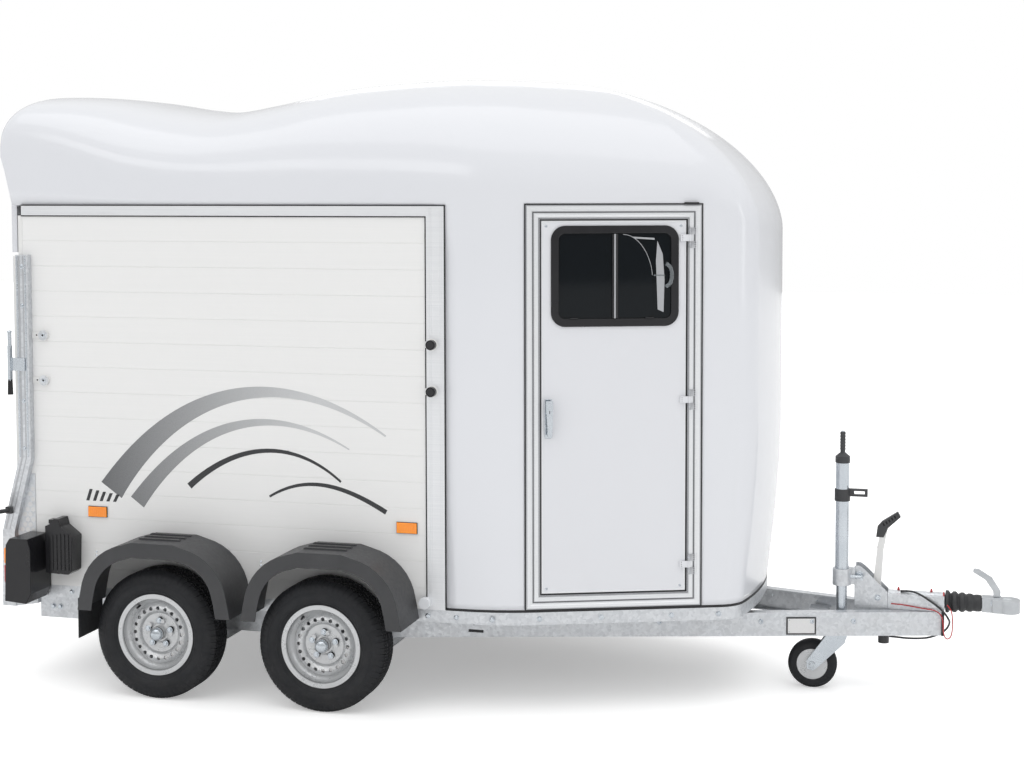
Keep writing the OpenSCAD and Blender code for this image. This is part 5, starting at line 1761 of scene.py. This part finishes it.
@dataclass(frozen=True)
class Drawbar:
    """What sits on the drawbar."""

    plain: tuple[tuple[str, Paint, float], ...] = (
        ("overrun_housing", Paint.GALV, 2.0), ("overrun_bracket", Paint.GALV, 2.0), ("bellows", Paint.RUBBER, 2.0),
        ("coupling_head", Paint.CAST, 3.0), ("handbrake", Paint.COAT, 2.0), ("jockey_tube", Paint.ZINC, 1.0),
        ("jockey_grips", Paint.PLASTIC, 3.0), ("jockey_fork", Paint.ZINC, 1.5), ("jockey_wheel", Paint.TYRE, 2.0),
        ("drawbar_fittings", Paint.PLASTIC, 2.0),
    )

    def build(self, shop: Workshop) -> None:
        """Adds the drawbar's fittings.

        Args:
            shop: The workshop.
        """
        for node, paint, bevel in self.plain:
            shop.refine(node, paint, bevel)
        kit = Kit(shop, "drawbar_trim")
        tube = kit.use(Paint.ZINC)
        tube.hexagon((2618, -46.4, 520), (0, -1, 0), 24, 10)
        tube.hexagon((2618, 46.4, 520), (0, 1, 0), 24, 10)
        tube.hexagon((2700, -46.4, 420), (0, -1, 0), 20, 8)
        for x in (2790, 2935):
            kit.use(Paint.RED_COAT).lathe([(6, 0), (6, 4), (4, 6), (4, 12), (0.1, 14)], (x, 0, 451), (0, 0, 1), 16)
        kit.use(Paint.RED_COAT).lathe([(40.5, 0), (40.5, 7)], (2986, 0, COUPLING_Z), (1, 0, 0), 40)
        kit.use(Paint.ZINC).lathe([(24, 0), (27, 1), (27, 9), (24, 10)], (3156, 0, COUPLING_Z), (1, 0, 0), 32)
        kit.use(Paint.ZINC).hexagon((3205, -30.4, 420), (0, -1, 0), 18, 8)
        kit.use(Paint.ZINC).hexagon((3205, 30.4, 420), (0, 1, 0), 18, 8)
        grip = kit.use(Paint.PLASTIC)
        grip.prism([(2688, 690), (2722, 690), (2742, 734), (2796, 785), (2783, 808), (2714, 762), (2694, 738)], -14.5, 14.5)
        for k in range(5):
            t = k / 5
            kit.use(Paint.GLOSS).prism(
                [(2716 + 62 * t, 752 + 45 * t), (2722 + 62 * t, 757 + 45 * t), (2728 + 62 * t, 745 + 45 * t),
                 (2722 + 62 * t, 740 + 45 * t)], -15.6, 15.6)
        kit.use(Paint.SEAL).box((2982, -46, 262), (2992.5, 46, 371))
        jock = kit.use(Paint.ZINC)
        jock.lathe([(31.5, 0), (31.5, 6)], (JOCKEY_X, -JOCKEY_Y, 556), (0, 0, 1), 40)
        jock.rod((JOCKEY_X + 40, -JOCKEY_Y, 516), (JOCKEY_X + 95, -JOCKEY_Y, 516), 7)
        jock.rod((JOCKEY_X + 92, -JOCKEY_Y - 45, 516), (JOCKEY_X + 92, -JOCKEY_Y + 45, 516), 6)
        jock.rod((JOCKEY_X, -JOCKEY_Y, 1175), (JOCKEY_X, -JOCKEY_Y, 1180), 8, 6)
        ring = kit.use(Paint.PLASTIC)
        for k in range(6):
            ring.lathe([(11.2, 0), (12.6, 3), (12.6, 9), (11.2, 12)], (JOCKEY_X, -JOCKEY_Y, 1092 + 14 * k), (0, 0, 1), 24)
        self.plate(kit)
        kit.close(bevel=0.8)
        wheel = Kit(shop, "jockey_rim", "jockey_wheel")
        centre = Vector((JOCKEY_X - 127, -JOCKEY_Y, 110))
        for s in (-1, 1):
            out = Vector((0, s, 0))
            wheel.use(Paint.WHEEL).lathe([(69.5, 0), (69.5, 2), (60, -20), (24, -22), (23, 3.4), (12, 3.6)],
                                         centre + out * 28, out, 48)
        wheel.close()
        fork = Kit(shop, "jockey_bolts", "jockey_fork")
        for s in (-1, 1):
            fork.use(Paint.ZINC).hexagon(centre + Vector((0, s * 47.5, 0)), (0, s, 0), 22, 9)
        fork.close()

    def plate(self, kit: Kit) -> None:
        """Adds the blank type plate's face with its rivets.

        Args:
            kit: The piece to add to.
        """
        x = 2310.0
        base = Matrix.Translation((x, -(RAILS_Y - (x - DRAW_X) * DRAW_SLOPE) - 0.3, 270.0))
        face = kit.use(Paint.BARE, base @ Matrix.Rotation(math.atan(DRAW_SLOPE), 4, "Z"))
        face.box((7, -3.8, 7), (127, -2.8, 73))
        for u, z in ((13, 13), (121, 13), (13, 67), (121, 67)):
            kit.use(Paint.ZINC).dome((u, -3.6, z), (0, -1, 0), 3, 1.5, 10)


def main() -> None:
    """Builds the trailer's looks in order."""
    logging.basicConfig(level=logging.INFO, format="%(message)s")
    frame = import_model()
    shop = Workshop(frame)
    View().build()
    Cables().build(shop)
    Studio().build(shop)
    Moulding().build(shop)
    Bodywork().build(shop)
    Doors().build(shop)
    Rear().build(shop)
    RunningGear().build(shop)
    Drawbar().build(shop)


if __name__ == "__main__":
    main()
